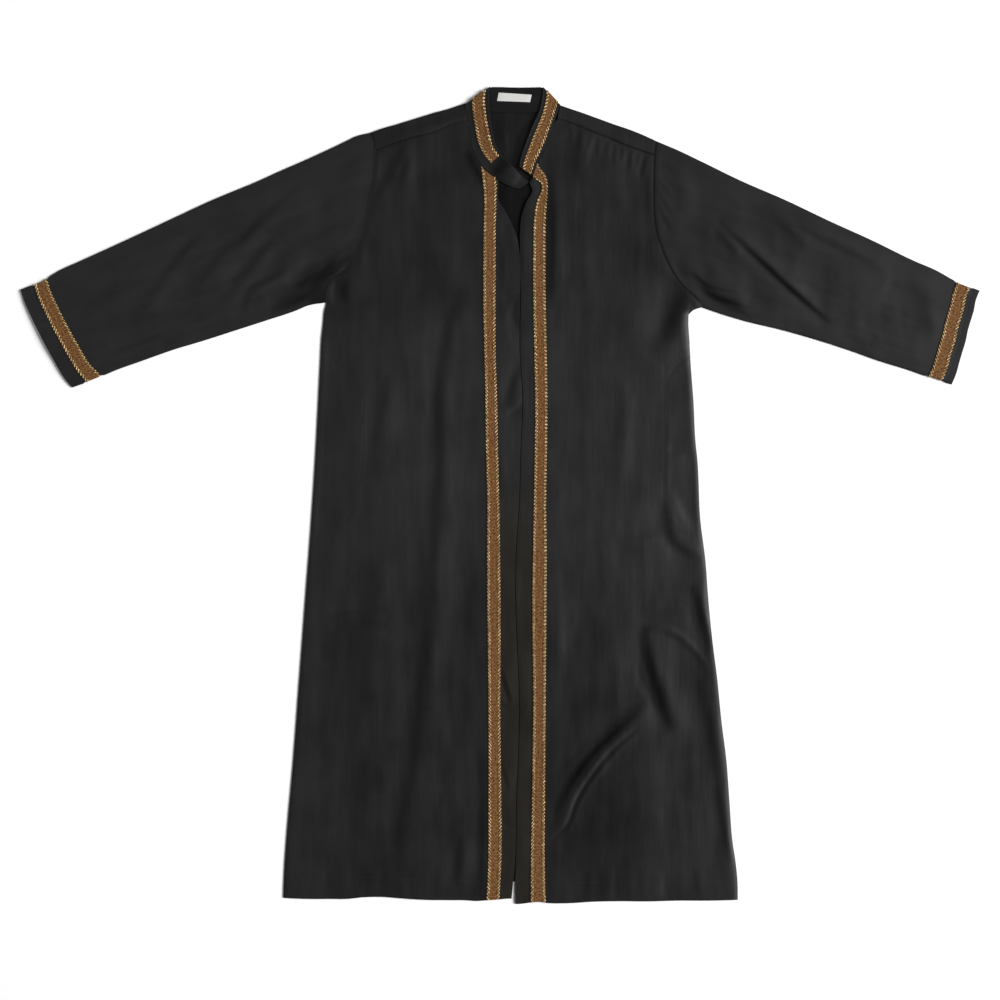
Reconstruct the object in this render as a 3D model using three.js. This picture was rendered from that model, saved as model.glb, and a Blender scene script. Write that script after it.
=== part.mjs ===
// A full-length robe with an open front and a band collar, laid flat and face up.
// Millimetres, +X to the wearer's left, +Y towards the neck, +Z up.
// The underside rests at Z = 0. Left and right are the wearer's.
import * as THREE from "three";

// ---- driving dimensions ----
const clothWall = 1.2;
const collarWall = 1.6;
const ribbonWall = 1;
const labelWall = 1;
const layerGap = 0.3;
const seamGap = 0.6;
const frontLoft = 2.2;
const armholeLoft = 1.6;
const sleeveLoft = 1.5;
const loftReach = 90;
const edgeInset = 2;
const shoulderRoll = 3.6;
const shoulderWidth = 145;
const neckClear = 2.2;
const hemCurve = 26;
const cuffHem = 23;
const cuffRibbon = 22;
const cuffLift = ribbonWall + layerGap + 0.05;
const labelRows = 2;
const footClear = 0.1;

// ---- cutting tables ----
// The armholes run from the shoulder fold down to the underarm.
const rightArmhole = [
  { x: -205.6, y: 580 },
  { x: -200, y: 565.6 },
  { x: -199.2, y: 551.2 },
  { x: -200, y: 533.6 },
  { x: -202.4, y: 508 },
  { x: -207.2, y: 480.8 },
  { x: -211.2, y: 455.2 },
  { x: -217.6, y: 426.4 },
  { x: -226.4, y: 399.2 },
  { x: -235.2, y: 378.4 },
  { x: -248.8, y: 359.2 },
  { x: -268, y: 344.8 },
  { x: -276, y: 327.2 },
  { x: -277.6, y: 308 },
];
const leftArmhole = [
  { x: 249.6, y: 566.4 },
  { x: 248, y: 557.6 },
  { x: 247.2, y: 548 },
  { x: 246.6, y: 530.4 },
  { x: 245.9, y: 503.2 },
  { x: 245.6, y: 474.4 },
  { x: 246.9, y: 445.6 },
  { x: 251.2, y: 418.4 },
  { x: 258.4, y: 396 },
  { x: 268, y: 372 },
  { x: 280.8, y: 349.6 },
  { x: 296.8, y: 330.4 },
  { x: 312.8, y: 316 },
  { x: 324, y: 300 },
];
// Side seams, from below the underarm to the hem.
const sideSeams = [
  { y: 279.2, right: -282.4, left: 301.6 },
  { y: 215.2, right: -287.2, left: 304.8 },
  { y: 87.2, right: -293.6, left: 311.2 },
  { y: -40.8, right: -301.6, left: 319.2 },
  { y: -168.8, right: -311.2, left: 332 },
  { y: -296.8, right: -320.8, left: 346.4 },
  { y: -424.8, right: -330.4, left: 360.8 },
  { y: -552.8, right: -341.6, left: 370.4 },
  { y: -644, right: -346.4, left: 378.4 },
];
// Each front's ribbon and its free edge, from the neck to the hem.
const rightFrontEdge = [
  { y: 624.8, outer: -34.4, inner: -15.2, edge: 10.4 },
  { y: 532, outer: -30.4, inner: -13.6, edge: 2.4 },
  { y: 471.2, outer: -24.8, inner: -6.4, edge: 4 },
  { y: 439.2, outer: -25.4, inner: -6.9, edge: 13.6 },
  { y: 391.2, outer: -26.1, inner: -7.2, edge: 29.6 },
  { y: 311.2, outer: -26.4, inner: -7.5, edge: 30.9 },
  { y: 231.2, outer: -24.8, inner: -7.2, edge: 32 },
  { y: 151.2, outer: -23.2, inner: -4.8, edge: 36 },
  { y: 71.2, outer: -22.1, inner: -3.4, edge: 33.3 },
  { y: -8.8, outer: -20, inner: -1.6, edge: 31.2 },
  { y: -88.8, outer: -20.3, inner: -0.8, edge: 26.1 },
  { y: -168.8, outer: -20, inner: 0, edge: 25.1 },
  { y: -248.8, outer: -19, inner: 0.8, edge: 28.2 },
  { y: -328.8, outer: -18.4, inner: 0.2, edge: 31.2 },
  { y: -408.8, outer: -17.9, inner: 0.8, edge: 29.9 },
  { y: -488.8, outer: -18.2, inner: 1.8, edge: 26.4 },
  { y: -584.8, outer: -18.6, inner: 1.8, edge: 24 },
  { y: -618.4, outer: -19.7, inner: 0.3, edge: 21.6 },
  { y: -645.6, outer: -21, inner: -1.3, edge: 19.2 },
];
const leftFrontEdge = [
  { y: 624.8, outer: 79.2, inner: 60, edge: 42.4 },
  { y: 535.2, outer: 69.6, inner: 55.2, edge: 44 },
  { y: 519.2, outer: 72.8, inner: 59.2, edge: 43.2 },
  { y: 504.8, outer: 76, inner: 62.4, edge: 44 },
  { y: 485.6, outer: 76.6, inner: 64, edge: 48 },
  { y: 466.4, outer: 74.4, inner: 58.7, edge: 44 },
  { y: 440.8, outer: 71.8, inner: 54.9, edge: 38.2 },
  { y: 391.2, outer: 72.2, inner: 53.4, edge: 34.1 },
  { y: 311.2, outer: 72.8, inner: 53.6, edge: 35.2 },
  { y: 231.2, outer: 74.4, inner: 54.9, edge: 34.4 },
  { y: 151.2, outer: 75.4, inner: 56.5, edge: 38.9 },
  { y: 71.2, outer: 74.9, inner: 55.8, edge: 35.7 },
  { y: -8.8, outer: 73.4, inner: 54.4, edge: 33.6 },
  { y: -88.8, outer: 74.4, inner: 53, edge: 28.5 },
  { y: -168.8, outer: 73.9, inner: 52, edge: 27.5 },
  { y: -248.8, outer: 73.4, inner: 52.5, edge: 30.6 },
  { y: -328.8, outer: 72.8, inner: 53.6, edge: 33.6 },
  { y: -408.8, outer: 72.2, inner: 52.5, edge: 32.2 },
  { y: -488.8, outer: 71.8, inner: 51.4, edge: 29 },
  { y: -568.8, outer: 71.2, inner: 49.8, edge: 28 },
  { y: -618.4, outer: 71.8, inner: 49.6, edge: 26.4 },
  { y: -653.6, outer: 72.8, inner: 49.6, edge: 26.4 },
];
const rightShoulderFold = [
  { x: -205.6, y: 580 },
  { x: -165.6, y: 592.8 },
  { x: -103.2, y: 612 },
  { x: -56.8, y: 626.4 },
];
const rightShoulderSeam = [
  { x: -199.2, y: 551.2 },
  { x: -146.4, y: 569.6 },
  { x: -84, y: 589.6 },
  { x: -51.2, y: 599.2 },
];
const leftShoulderFold = [
  { x: 249.6, y: 566.4 },
  { x: 202.4, y: 586.4 },
  { x: 148, y: 605.6 },
  { x: 96.8, y: 621.6 },
];
const leftShoulderSeam = [
  { x: 247.2, y: 548 },
  { x: 200.8, y: 560.8 },
  { x: 144.8, y: 583.2 },
  { x: 92, y: 599.2 },
];
const rightSleeveTop = [
  { x: -205.6, y: 580 },
  { x: -231.2, y: 573.6 },
  { x: -277.6, y: 551.2 },
  { x: -349.6, y: 519.2 },
  { x: -461.6, y: 471.2 },
  { x: -599.2, y: 407.2 },
  { x: -704.8, y: 359.2 },
  { x: -766.6, y: 328.8 },
];
const rightSleeveUnder = [
  { x: -277.6, y: 308 },
  { x: -325.6, y: 295.2 },
  { x: -373.6, y: 279.2 },
  { x: -472.8, y: 247.2 },
  { x: -570.4, y: 215.2 },
  { x: -652, y: 183.2 },
  { x: -684, y: 172 },
];
const rightCuff = [
  { x: -766.6, y: 328.8 },
  { x: -746.4, y: 279.2 },
  { x: -712.8, y: 215.2 },
  { x: -684, y: 172 },
];
const leftSleeveTop = [
  { x: 249.6, y: 566.4 },
  { x: 285.6, y: 551.2 },
  { x: 319.2, y: 535.2 },
  { x: 458.4, y: 471.2 },
  { x: 596, y: 407.2 },
  { x: 698.4, y: 359.2 },
  { x: 767.2, y: 327.2 },
];
const leftSleeveUnder = [
  { x: 324, y: 300 },
  { x: 346.4, y: 292 },
  { x: 453.6, y: 263.2 },
  { x: 559.2, y: 231.2 },
  { x: 655.2, y: 199.2 },
  { x: 722.4, y: 176.8 },
];
const leftCuff = [
  { x: 767.2, y: 327.2 },
  { x: 754.4, y: 282.4 },
  { x: 740, y: 231.2 },
  { x: 722.4, y: 176.8 },
];
// Stations along the collar band: its sewn line, its free edge and the ribbon's share of it.
const collarRightFront = [
  { seamX: 13.6, seamY: 493.6, edgeX: 34.4, edgeY: 509.6, trimOuter: 0.2, trimInner: 0.84, seamZ: 3.1, edgeZ: 3 },
  { seamX: 4, seamY: 504.8, edgeX: 21.6, edgeY: 524, trimOuter: 0.21, trimInner: 0.84, seamZ: 3.2, edgeZ: 3.2 },
  { seamX: -10.4, seamY: 520, edgeX: 7.2, edgeY: 537.6, trimOuter: 0.22, trimInner: 0.83, seamZ: 3.6, edgeZ: 5 },
  { seamX: -20, seamY: 532, edgeX: 0.8, edgeY: 547.2, trimOuter: 0.23, trimInner: 0.83, seamZ: 4, edgeZ: 6.5 },
  { seamX: -32, seamY: 547.2, edgeX: -5.6, edgeY: 557.6, trimOuter: 0.24, trimInner: 0.82, seamZ: 4.4, edgeZ: 7.5 },
  { seamX: -41.6, seamY: 565.6, edgeX: -9.9, edgeY: 573.6, trimOuter: 0.25, trimInner: 0.82, seamZ: 4.6, edgeZ: 8 },
  { seamX: -47.2, seamY: 584.8, edgeX: -13.6, edgeY: 592.8, trimOuter: 0.26, trimInner: 0.81, seamZ: 4.7, edgeZ: 8 },
  { seamX: -52, seamY: 604, edgeX: -16.5, edgeY: 615.2, trimOuter: 0.27, trimInner: 0.81, seamZ: 4.8, edgeZ: 7.4 },
  { seamX: -55.2, seamY: 616.8, edgeX: -18.2, edgeY: 634.4, trimOuter: 0.28, trimInner: 0.8, seamZ: 4.9, edgeZ: 6.2 },
  { seamX: -56.3, seamY: 624.3, edgeX: -20, edgeY: 650.4, trimOuter: 0.29, trimInner: 0.8, seamZ: 5.2, edgeZ: 5.2 },
];
const collarBack = [
  { seamX: -45.6, seamY: 620, edgeX: -12, edgeY: 649.9, trimOuter: 0.28, trimInner: 0.8, seamZ: 1.3, edgeZ: 1.3 },
  { seamX: -24.8, seamY: 615.2, edgeX: 0.8, edgeY: 649.6, trimOuter: 0.26, trimInner: 0.8, seamZ: 1.3, edgeZ: 1.3 },
  { seamX: 0.8, seamY: 612, edgeX: 12, edgeY: 648.8, trimOuter: 0.24, trimInner: 0.79, seamZ: 1.3, edgeZ: 1.3 },
  { seamX: 26.4, seamY: 611.2, edgeX: 26.4, edgeY: 648.3, trimOuter: 0.23, trimInner: 0.79, seamZ: 1.3, edgeZ: 1.3 },
  { seamX: 52, seamY: 612, edgeX: 42.4, edgeY: 648.3, trimOuter: 0.21, trimInner: 0.79, seamZ: 1.3, edgeZ: 1.3 },
  { seamX: 72.8, seamY: 615.2, edgeX: 56.8, edgeY: 648.8, trimOuter: 0.19, trimInner: 0.78, seamZ: 1.3, edgeZ: 1.3 },
  { seamX: 87.2, seamY: 618.4, edgeX: 66.4, edgeY: 649.3, trimOuter: 0.17, trimInner: 0.78, seamZ: 1.3, edgeZ: 1.3 },
];
const collarLeftFront = [
  { seamX: 96.8, seamY: 621.6, edgeX: 72.8, edgeY: 649.6, trimOuter: 0.16, trimInner: 0.78, seamZ: 5.2, edgeZ: 5.2 },
  { seamX: 92.8, seamY: 612, edgeX: 69.6, edgeY: 636, trimOuter: 0.16, trimInner: 0.78, seamZ: 5.2, edgeZ: 6 },
  { seamX: 88, seamY: 599.2, edgeX: 64, edgeY: 616.8, trimOuter: 0.16, trimInner: 0.77, seamZ: 5.6, edgeZ: 7.4 },
  { seamX: 82.4, seamY: 581.6, edgeX: 55.2, edgeY: 596, trimOuter: 0.16, trimInner: 0.77, seamZ: 6.2, edgeZ: 8.6 },
  { seamX: 75.2, seamY: 562.4, edgeX: 48, edgeY: 579.2, trimOuter: 0.15, trimInner: 0.77, seamZ: 6.6, edgeZ: 9.4 },
  { seamX: 66.4, seamY: 543.2, edgeX: 40, edgeY: 557.6, trimOuter: 0.15, trimInner: 0.77, seamZ: 7, edgeZ: 9.6 },
  { seamX: 58.4, seamY: 527.2, edgeX: 33.6, edgeY: 538.4, trimOuter: 0.15, trimInner: 0.76, seamZ: 7.2, edgeZ: 9.2 },
  { seamX: 52.8, seamY: 509.6, edgeX: 30.9, edgeY: 524.8, trimOuter: 0.15, trimInner: 0.76, seamZ: 7.4, edgeZ: 8.4 },
];
const labelCorners = [
  { x: -1.9, y: 643.2 },
  { x: 50.9, y: 639.8 },
  { x: 48.2, y: 628 },
  { x: -4.5, y: 629.9 },
];
// Folds: a soft ridge, or a trough where the rise is below zero, along two straight runs.
const rightFrontFolds = [
  { fromX: -63, fromY: 322, midX: -95, midY: 239, toX: -100, toY: 162, width: 21, rise: -3 },
  { fromX: -100, fromY: 162, midX: -95, midY: 7, toX: -111, toY: -153, width: 22, rise: -3.4 },
  { fromX: -111, fromY: -153, midX: -126, midY: -281, toX: -134, toY: -393, width: 22, rise: -3.6 },
  { fromX: -134, fromY: -393, midX: -148, midY: -489, toX: -159, toY: -569, width: 22, rise: -2.6 },
  { fromX: -84, fromY: 39, midX: -94, midY: -169, toX: -108, toY: -385, width: 21, rise: 2.6 },
  { fromX: -180, fromY: 215, midX: -190, midY: 151, toX: -202, toY: 71, width: 19, rise: -2.6 },
  { fromX: -162, fromY: 183, midX: -172, midY: 103, toX: -182, toY: 23, width: 22, rise: 1.8 },
  { fromX: -63, fromY: -521, midX: -65, midY: -569, toX: -68, toY: -625, width: 14, rise: -2.2 },
  { fromX: -30, fromY: -425, midX: -28, midY: -521, toX: -30, toY: -644, width: 13, rise: -1.8 },
  { fromX: -266, fromY: -190, midX: -226, midY: -188, toX: -186, toY: -190, width: 11, rise: -1.8 },
  { fromX: -266, fromY: -214, midX: -226, midY: -212, toX: -186, toY: -214, width: 11, rise: -1.6 },
  { fromX: -143, fromY: 570, midX: -162, midY: 535, toX: -175, toY: 497, width: 16, rise: -2.4 },
  { fromX: -127, fromY: 551, midX: -140, midY: 511, toX: -150, toY: 463, width: 19, rise: 1.8 },
  { fromX: -47, fromY: 551, midX: -41, midY: 527, toX: -31, toY: 500, width: 16, rise: -2.6 },
  { fromX: -255, fromY: 356, midX: -252, midY: 337, toX: -246, toY: 318, width: 14, rise: -2.2 },
  { fromX: -236, fromY: 23, midX: -242, midY: -169, toX: -258, toY: -361, width: 35, rise: 1.8 },
  { fromX: -271, fromY: -233, midX: -284, midY: -393, toX: -290, toY: -569, width: 26, rise: 1.6 },
  { fromX: -204, fromY: -201, midX: -220, midY: -393, toX: -236, toY: -601, width: 24, rise: -1.8 },
  { fromX: -60, fromY: -105, midX: -54, midY: -297, toX: -60, toY: -457, width: 22, rise: 1.4 },
  { fromX: -127, fromY: 423, midX: -111, midY: 359, toX: -86, toY: 311, width: 26, rise: 1.8 },
];
const leftFrontFolds = [
  { fromX: 82, fromY: 535, midX: 81, midY: 431, toX: 81, toY: 311, width: 11, rise: -2.4 },
  { fromX: 241, fromY: 543, midX: 239, midY: 487, toX: 242, toY: 431, width: 14, rise: -2 },
  { fromX: 300, fromY: 327, midX: 276, midY: 282, toX: 249, toY: 228, width: 18, rise: -4 },
  { fromX: 282, fromY: 239, midX: 270, midY: 196, toX: 260, toY: 151, width: 21, rise: 2.2 },
  { fromX: 215, fromY: 191, midX: 215, midY: 103, toX: 212, toY: 15, width: 19, rise: 2.2 },
  { fromX: 196, fromY: 183, midX: 196, midY: 103, toX: 193, toY: 23, width: 16, rise: -1.8 },
  { fromX: 265, fromY: -9, midX: 274, midY: -70, toX: 316, toY: -100, width: 16, rise: -3.2 },
  { fromX: 276, fromY: 4, midX: 290, midY: -28, toX: 311, toY: -57, width: 16, rise: 2.4 },
  { fromX: 193, fromY: -65, midX: 225, midY: -66, toX: 257, toY: -60, width: 13, rise: -2 },
  { fromX: 311, fromY: -145, midX: 324, midY: -196, toX: 338, toY: -249, width: 14, rise: -2.4 },
  { fromX: 238, fromY: -201, midX: 292, midY: -217, toX: 330, toY: -303, width: 21, rise: 2.8 },
  { fromX: 236, fromY: -212, midX: 241, midY: -289, toX: 274, toY: -377, width: 19, rise: -4 },
  { fromX: 226, fromY: -372, midX: 161, midY: -433, toX: 129, toY: -470, width: 14, rise: -3.2 },
  { fromX: 129, fromY: -470, midX: 106, midY: -521, toX: 84, toY: -553, width: 14, rise: -3 },
  { fromX: 230, fromY: -329, midX: 150, midY: -401, toX: 92, toY: -508, width: 27, rise: -3 },
  { fromX: 260, fromY: -361, midX: 201, midY: -438, toX: 158, toY: -521, width: 29, rise: 2.6 },
  { fromX: 353, fromY: -422, midX: 362, midY: -505, toX: 370, toY: -588, width: 14, rise: -2.2 },
  { fromX: 161, fromY: -569, midX: 158, midY: -609, toX: 154, toY: -649, width: 14, rise: 1.6 },
  { fromX: 225, fromY: -553, midX: 225, midY: -601, toX: 226, toY: -647, width: 14, rise: 1.8 },
  { fromX: 129, fromY: 583, midX: 122, midY: 551, toX: 119, toY: 516, width: 13, rise: -1.6 },
  { fromX: 177, fromY: 567, midX: 172, midY: 527, toX: 167, toY: 487, width: 14, rise: 1.4 },
  { fromX: 121, fromY: 311, midX: 129, midY: 119, toX: 116, toY: -73, width: 26, rise: 1.6 },
  { fromX: 161, fromY: -105, midX: 145, midY: -201, toX: 113, toY: -313, width: 24, rise: 1.8 },
];
const rightSleeveFolds = [
  { fromX: -471, fromY: 426, midX: -540, midY: 354, toX: -588, toY: 279, width: 18, rise: -2 },
  { fromX: -444, fromY: 420, midX: -508, midY: 350, toX: -556, toY: 276, width: 19, rise: 1.8 },
  { fromX: -319, fromY: 495, midX: -415, midY: 410, toX: -500, toY: 316, width: 18, rise: -2 },
  { fromX: -290, fromY: 484, midX: -380, midY: 407, toX: -460, toY: 311, width: 19, rise: 1.8 },
  { fromX: -359, fromY: 407, midX: -391, midY: 372, toX: -428, toY: 324, width: 14, rise: -1.8 },
  { fromX: -335, fromY: 366, midX: -380, midY: 340, toX: -407, toY: 292, width: 14, rise: -1.8 },
  { fromX: -255, fromY: 372, midX: -300, midY: 343, toX: -361, toY: 302, width: 22, rise: -2.4 },
  { fromX: -431, fromY: 279, midX: -463, midY: 270, toX: -495, toY: 262, width: 11, rise: -1.5 },
  { fromX: -524, fromY: 260, midX: -575, midY: 242, toX: -636, toY: 214, width: 13, rise: -1.6 },
  { fromX: -214, fromY: 471, midX: -236, midY: 414, toX: -271, toY: 372, width: 16, rise: 1.6 },
  { fromX: -663, fromY: 300, midX: -679, midY: 294, toX: -697, toY: 286, width: 11, rise: 1.5 },
];
const leftSleeveFolds = [
  { fromX: 353, fromY: 436, midX: 446, midY: 353, toX: 526, toY: 276, width: 14, rise: -2.4 },
  { fromX: 372, fromY: 449, midX: 465, midY: 372, toX: 545, toY: 302, width: 19, rise: 2.2 },
  { fromX: 343, fromY: 426, midX: 359, midY: 404, toX: 378, toY: 382, width: 13, rise: -1.6 },
  { fromX: 476, fromY: 431, midX: 548, midY: 394, toX: 618, toY: 354, width: 14, rise: -1.7 },
  { fromX: 433, fromY: 446, midX: 458, midY: 425, toX: 486, toY: 402, width: 13, rise: -1.6 },
  { fromX: 289, fromY: 356, midX: 330, midY: 337, toX: 378, toY: 326, width: 18, rise: -2.4 },
  { fromX: 385, fromY: 319, midX: 436, midY: 302, toX: 490, toY: 292, width: 14, rise: -1.8 },
  { fromX: 321, fromY: 311, midX: 353, midY: 306, toX: 388, toY: 302, width: 16, rise: -2.2 },
  { fromX: 263, fromY: 527, midX: 282, midY: 487, toX: 289, toY: 436, width: 16, rise: 1.6 },
  { fromX: 305, fromY: 407, midX: 346, midY: 372, toX: 385, toY: 343, width: 19, rise: 1.8 },
];

// The fronts and the back are cut to the collar's sewn line.
const sewn = (row) => ({ x: row.seamX, y: row.seamY });
const rightNeck = [...collarRightFront].reverse().slice(3).map(sewn);
const leftNeck = collarLeftFront.slice(3).map(sewn);
const backNeck = [
  sewn(collarRightFront[collarRightFront.length - 1]),
  ...collarBack.map(sewn),
  sewn(collarLeftFront[0]),
];

// ---- materials ----
const satin = { color: "#141416", roughness: 0.5 };
const ribbon = { color: "#5b4531", roughness: 0.75 };
const labelCloth = { color: "#f2f1ee", roughness: 0.6 };

// ---- helpers ----
const flat = (row) => new THREE.Vector2(row.x, row.y);
const ease = (from, to, value) => THREE.MathUtils.smoothstep(value, from, to);
const mix = THREE.MathUtils.lerp;

// A value read from a table at one height or station, straight between rows.
function read(rows, key, at, value) {
  const rising = rows[0][key] < rows[rows.length - 1][key];
  const list = rising ? rows : [...rows].reverse();
  if (at <= list[0][key]) return list[0][value];
  for (let i = 1; i < list.length; i += 1) {
    if (at <= list[i][key]) {
      const share = (at - list[i - 1][key]) / (list[i][key] - list[i - 1][key]);
      return mix(list[i - 1][value], list[i][value], share);
    }
  }
  return list[list.length - 1][value];
}

// A point part of the way along a run of rows, by length.
function along(rows, share) {
  const points = rows.map(flat);
  const lengths = points.slice(1).map((point, i) => point.distanceTo(points[i]));
  const total = lengths.reduce((sum, length) => sum + length, 0);
  let left = THREE.MathUtils.clamp(share, 0, 1) * total;
  for (let i = 0; i < lengths.length; i += 1) {
    if (left <= lengths[i]) {
      return points[i].clone().lerp(points[i + 1], left / lengths[i]);
    }
    left -= lengths[i];
  }
  return points[points.length - 1].clone();
}

// A point on a table whose rows are evenly shared out, so that it keeps its corners.
function onRows(rows, share) {
  const place = THREE.MathUtils.clamp(share, 0, 1) * (rows.length - 1);
  const index = Math.min(Math.floor(place), rows.length - 2);
  return flat(rows[index]).lerp(flat(rows[index + 1]), place - index);
}

// A table moved sideways by a gap, along its own normals.
function shifted(rows, gap) {
  return rows.map((row, i) => {
    const before = flat(rows[Math.max(i - 1, 0)]);
    const after = flat(rows[Math.min(i + 1, rows.length - 1)]);
    const run = after.sub(before).normalize();
    return { x: row.x - run.y * gap, y: row.y + run.x * gap };
  });
}

// The distance from a place to a straight run, and the share of the run where it is met.
function runDistance(x, y, fromX, fromY, toX, toY) {
  const runX = toX - fromX;
  const runY = toY - fromY;
  const along2 = ((x - fromX) * runX + (y - fromY) * runY) / (runX * runX + runY * runY);
  const share = THREE.MathUtils.clamp(along2, 0, 1);
  const distance = Math.hypot(x - fromX - runX * share, y - fromY - runY * share);
  return { distance, share };
}

function foldRise(folds, x, y) {
  let total = 0;
  for (const fold of folds) {
    const first = runDistance(x, y, fold.fromX, fold.fromY, fold.midX, fold.midY);
    const second = runDistance(x, y, fold.midX, fold.midY, fold.toX, fold.toY);
    const nearer = first.distance <= second.distance ? first : second;
    const place = nearer === first ? first.share / 2 : 0.5 + second.share / 2;
    const fade = 0.25 + 0.75 * Math.sin(Math.PI * place);
    total += fold.rise * fade * Math.exp(-((nearer.distance / fold.width) ** 2));
  }
  return total;
}

// A ring's open end is cut square to its run.
function squareEnd(endRow, nextRow, normals) {
  endRow.forEach((place, j) => {
    const run = nextRow[j].clone().sub(place).setZ(0).normalize();
    normals[j].addScaledVector(run, -normals[j].dot(run));
  });
}

// A sheet is a grid of points on the cloth's outer face, with a normal at each.
// Cells with a missing corner are left out, and a ring joins its last point to its first.
// An upright sheet gets its thickness straight up, so that its edges stay over each other.
function sheetOf(grid, { ring = false, turned = false, upright = false } = {}) {
  const rowCount = grid.length;
  const columnCount = grid[0].length;
  const cells = [];
  for (let i = 0; i < rowCount - 1; i += 1) {
    for (let j = 0; j < (ring ? columnCount : columnCount - 1); j += 1) {
      const next = (j + 1) % columnCount;
      const corners = [[i, j], [i, next], [i + 1, next], [i + 1, j]];
      if (corners.every(([a, b]) => grid[a][b])) cells.push(corners);
    }
  }
  const faces = grid.map((row) => row.map(() => []));
  for (const corners of cells) {
    const [a, b, c, d] = corners.map(([row, column]) => grid[row][column]);
    const first = c.clone().sub(a);
    const normal = first.cross(d.clone().sub(b)).normalize();
    if (turned) normal.negate();
    corners.forEach(([row, column]) => faces[row][column].push(normal));
  }
  const normals = faces.map((row) => row.map((list) => {
    if (!list.length) return null;
    if (upright) return new THREE.Vector3(0, 0, 1);
    const sum = new THREE.Vector3();
    list.forEach((normal) => sum.add(normal));
    sum.normalize();
    const share = list.reduce((total, normal) => total + normal.dot(sum), 0) / list.length;
    return sum.multiplyScalar(1 / Math.max(share, 0.66));
  }));
  if (ring) {
    squareEnd(grid[0], grid[1], normals[0]);
    squareEnd(grid[rowCount - 1], grid[rowCount - 2], normals[rowCount - 1]);
  }
  return { grid, normals, ring, turned };
}

// Part of a sheet, by its rows and columns.
function partOf(sheet, rowRange, columnRange = null) {
  const cut = (table) => table
    .slice(rowRange[0], rowRange[1] + 1)
    .map((row) => (columnRange ? row.slice(columnRange[0], columnRange[1] + 1) : row));
  return { ...sheet, grid: cut(sheet.grid), normals: cut(sheet.normals) };
}

// A closed wall between two offsets from a sheet.
function wallMesh(name, sheet, outer, inner, finish) {
  const { grid, normals, ring, turned } = sheet;
  const rowCount = grid.length;
  const columnCount = grid[0].length;
  const numbers = new Map();
  const places = [];
  const numberOf = (i, j) => {
    const key = i * columnCount + j;
    if (!numbers.has(key)) {
      numbers.set(key, places.length / 2);
      places.push(grid[i][j].clone().addScaledVector(normals[i][j], outer));
      places.push(grid[i][j].clone().addScaledVector(normals[i][j], inner));
    }
    return numbers.get(key) * 2;
  };
  const triangles = [];
  const edges = new Map();
  const addCell = (corners) => {
    const turn = turned ? [...corners].reverse() : corners;
    const [a, b, c, d] = turn.map(([i, j]) => numberOf(i, j));
    triangles.push([a, b, c], [a, c, d]);
    triangles.push([a + 1, c + 1, b + 1], [a + 1, d + 1, c + 1]);
    [[a, b], [b, c], [c, d], [d, a]].forEach(([from, to]) => {
      const back = to + "_" + from;
      if (edges.has(back)) edges.delete(back);
      else edges.set(from + "_" + to, [from, to]);
    });
  };
  for (let i = 0; i < rowCount - 1; i += 1) {
    for (let j = 0; j < (ring ? columnCount : columnCount - 1); j += 1) {
      const next = (j + 1) % columnCount;
      const corners = [[i, j], [i, next], [i + 1, next], [i + 1, j]];
      if (corners.every(([row, column]) => grid[row][column])) addCell(corners);
    }
  }
  edges.forEach(([from, to]) => {
    triangles.push([to, from, from + 1], [to, from + 1, to + 1]);
  });
  const geometry = new THREE.BufferGeometry().setFromPoints(places);
  geometry.setIndex(triangles.flat());
  geometry.computeVertexNormals();
  const mesh = new THREE.Mesh(geometry, new THREE.MeshStandardMaterial(finish));
  mesh.name = name;
  return mesh;
}

// ---- heights ----
const lowestTop = clothWall + layerGap + clothWall;

// The loft along an armhole, from the shoulder fold to the underarm.
const arch = (share) => Math.sin(Math.PI * THREE.MathUtils.clamp(share, 0, 1));
const armholeTop = (share) => lowestTop + armholeLoft * arch(share) ** 0.7;

// ---- back panel ----
const armholeRows = rightArmhole.length;
const seamRow = 2;
const sideRows = 9;
const shoulderColumns = 5;
const neckColumns = 6;

function sideX(side, armhole, y) {
  const lowest = armhole[armholeRows - 1];
  if (y >= lowest.y) return read(armhole, "y", y, "x");
  const seam = [{ y: lowest.y, [side]: lowest.x }, ...sideSeams];
  return read(seam, "y", y, side);
}

const frontHem = { right: -645, left: -649 };

// The back hem rises in the middle, so the fronts hang a little below it.
const backHemY = (share) => frontHem.right + 1 + hemCurve * Math.sin(Math.PI * share);

function backTop(share) {
  const shoulder = shoulderColumns / (2 * shoulderColumns + neckColumns);
  if (share <= shoulder) return along(rightShoulderFold, share / shoulder);
  if (share >= 1 - shoulder) return along(leftShoulderFold, (1 - share) / shoulder);
  return along(backNeck, (share - shoulder) / (1 - 2 * shoulder));
}

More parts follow.
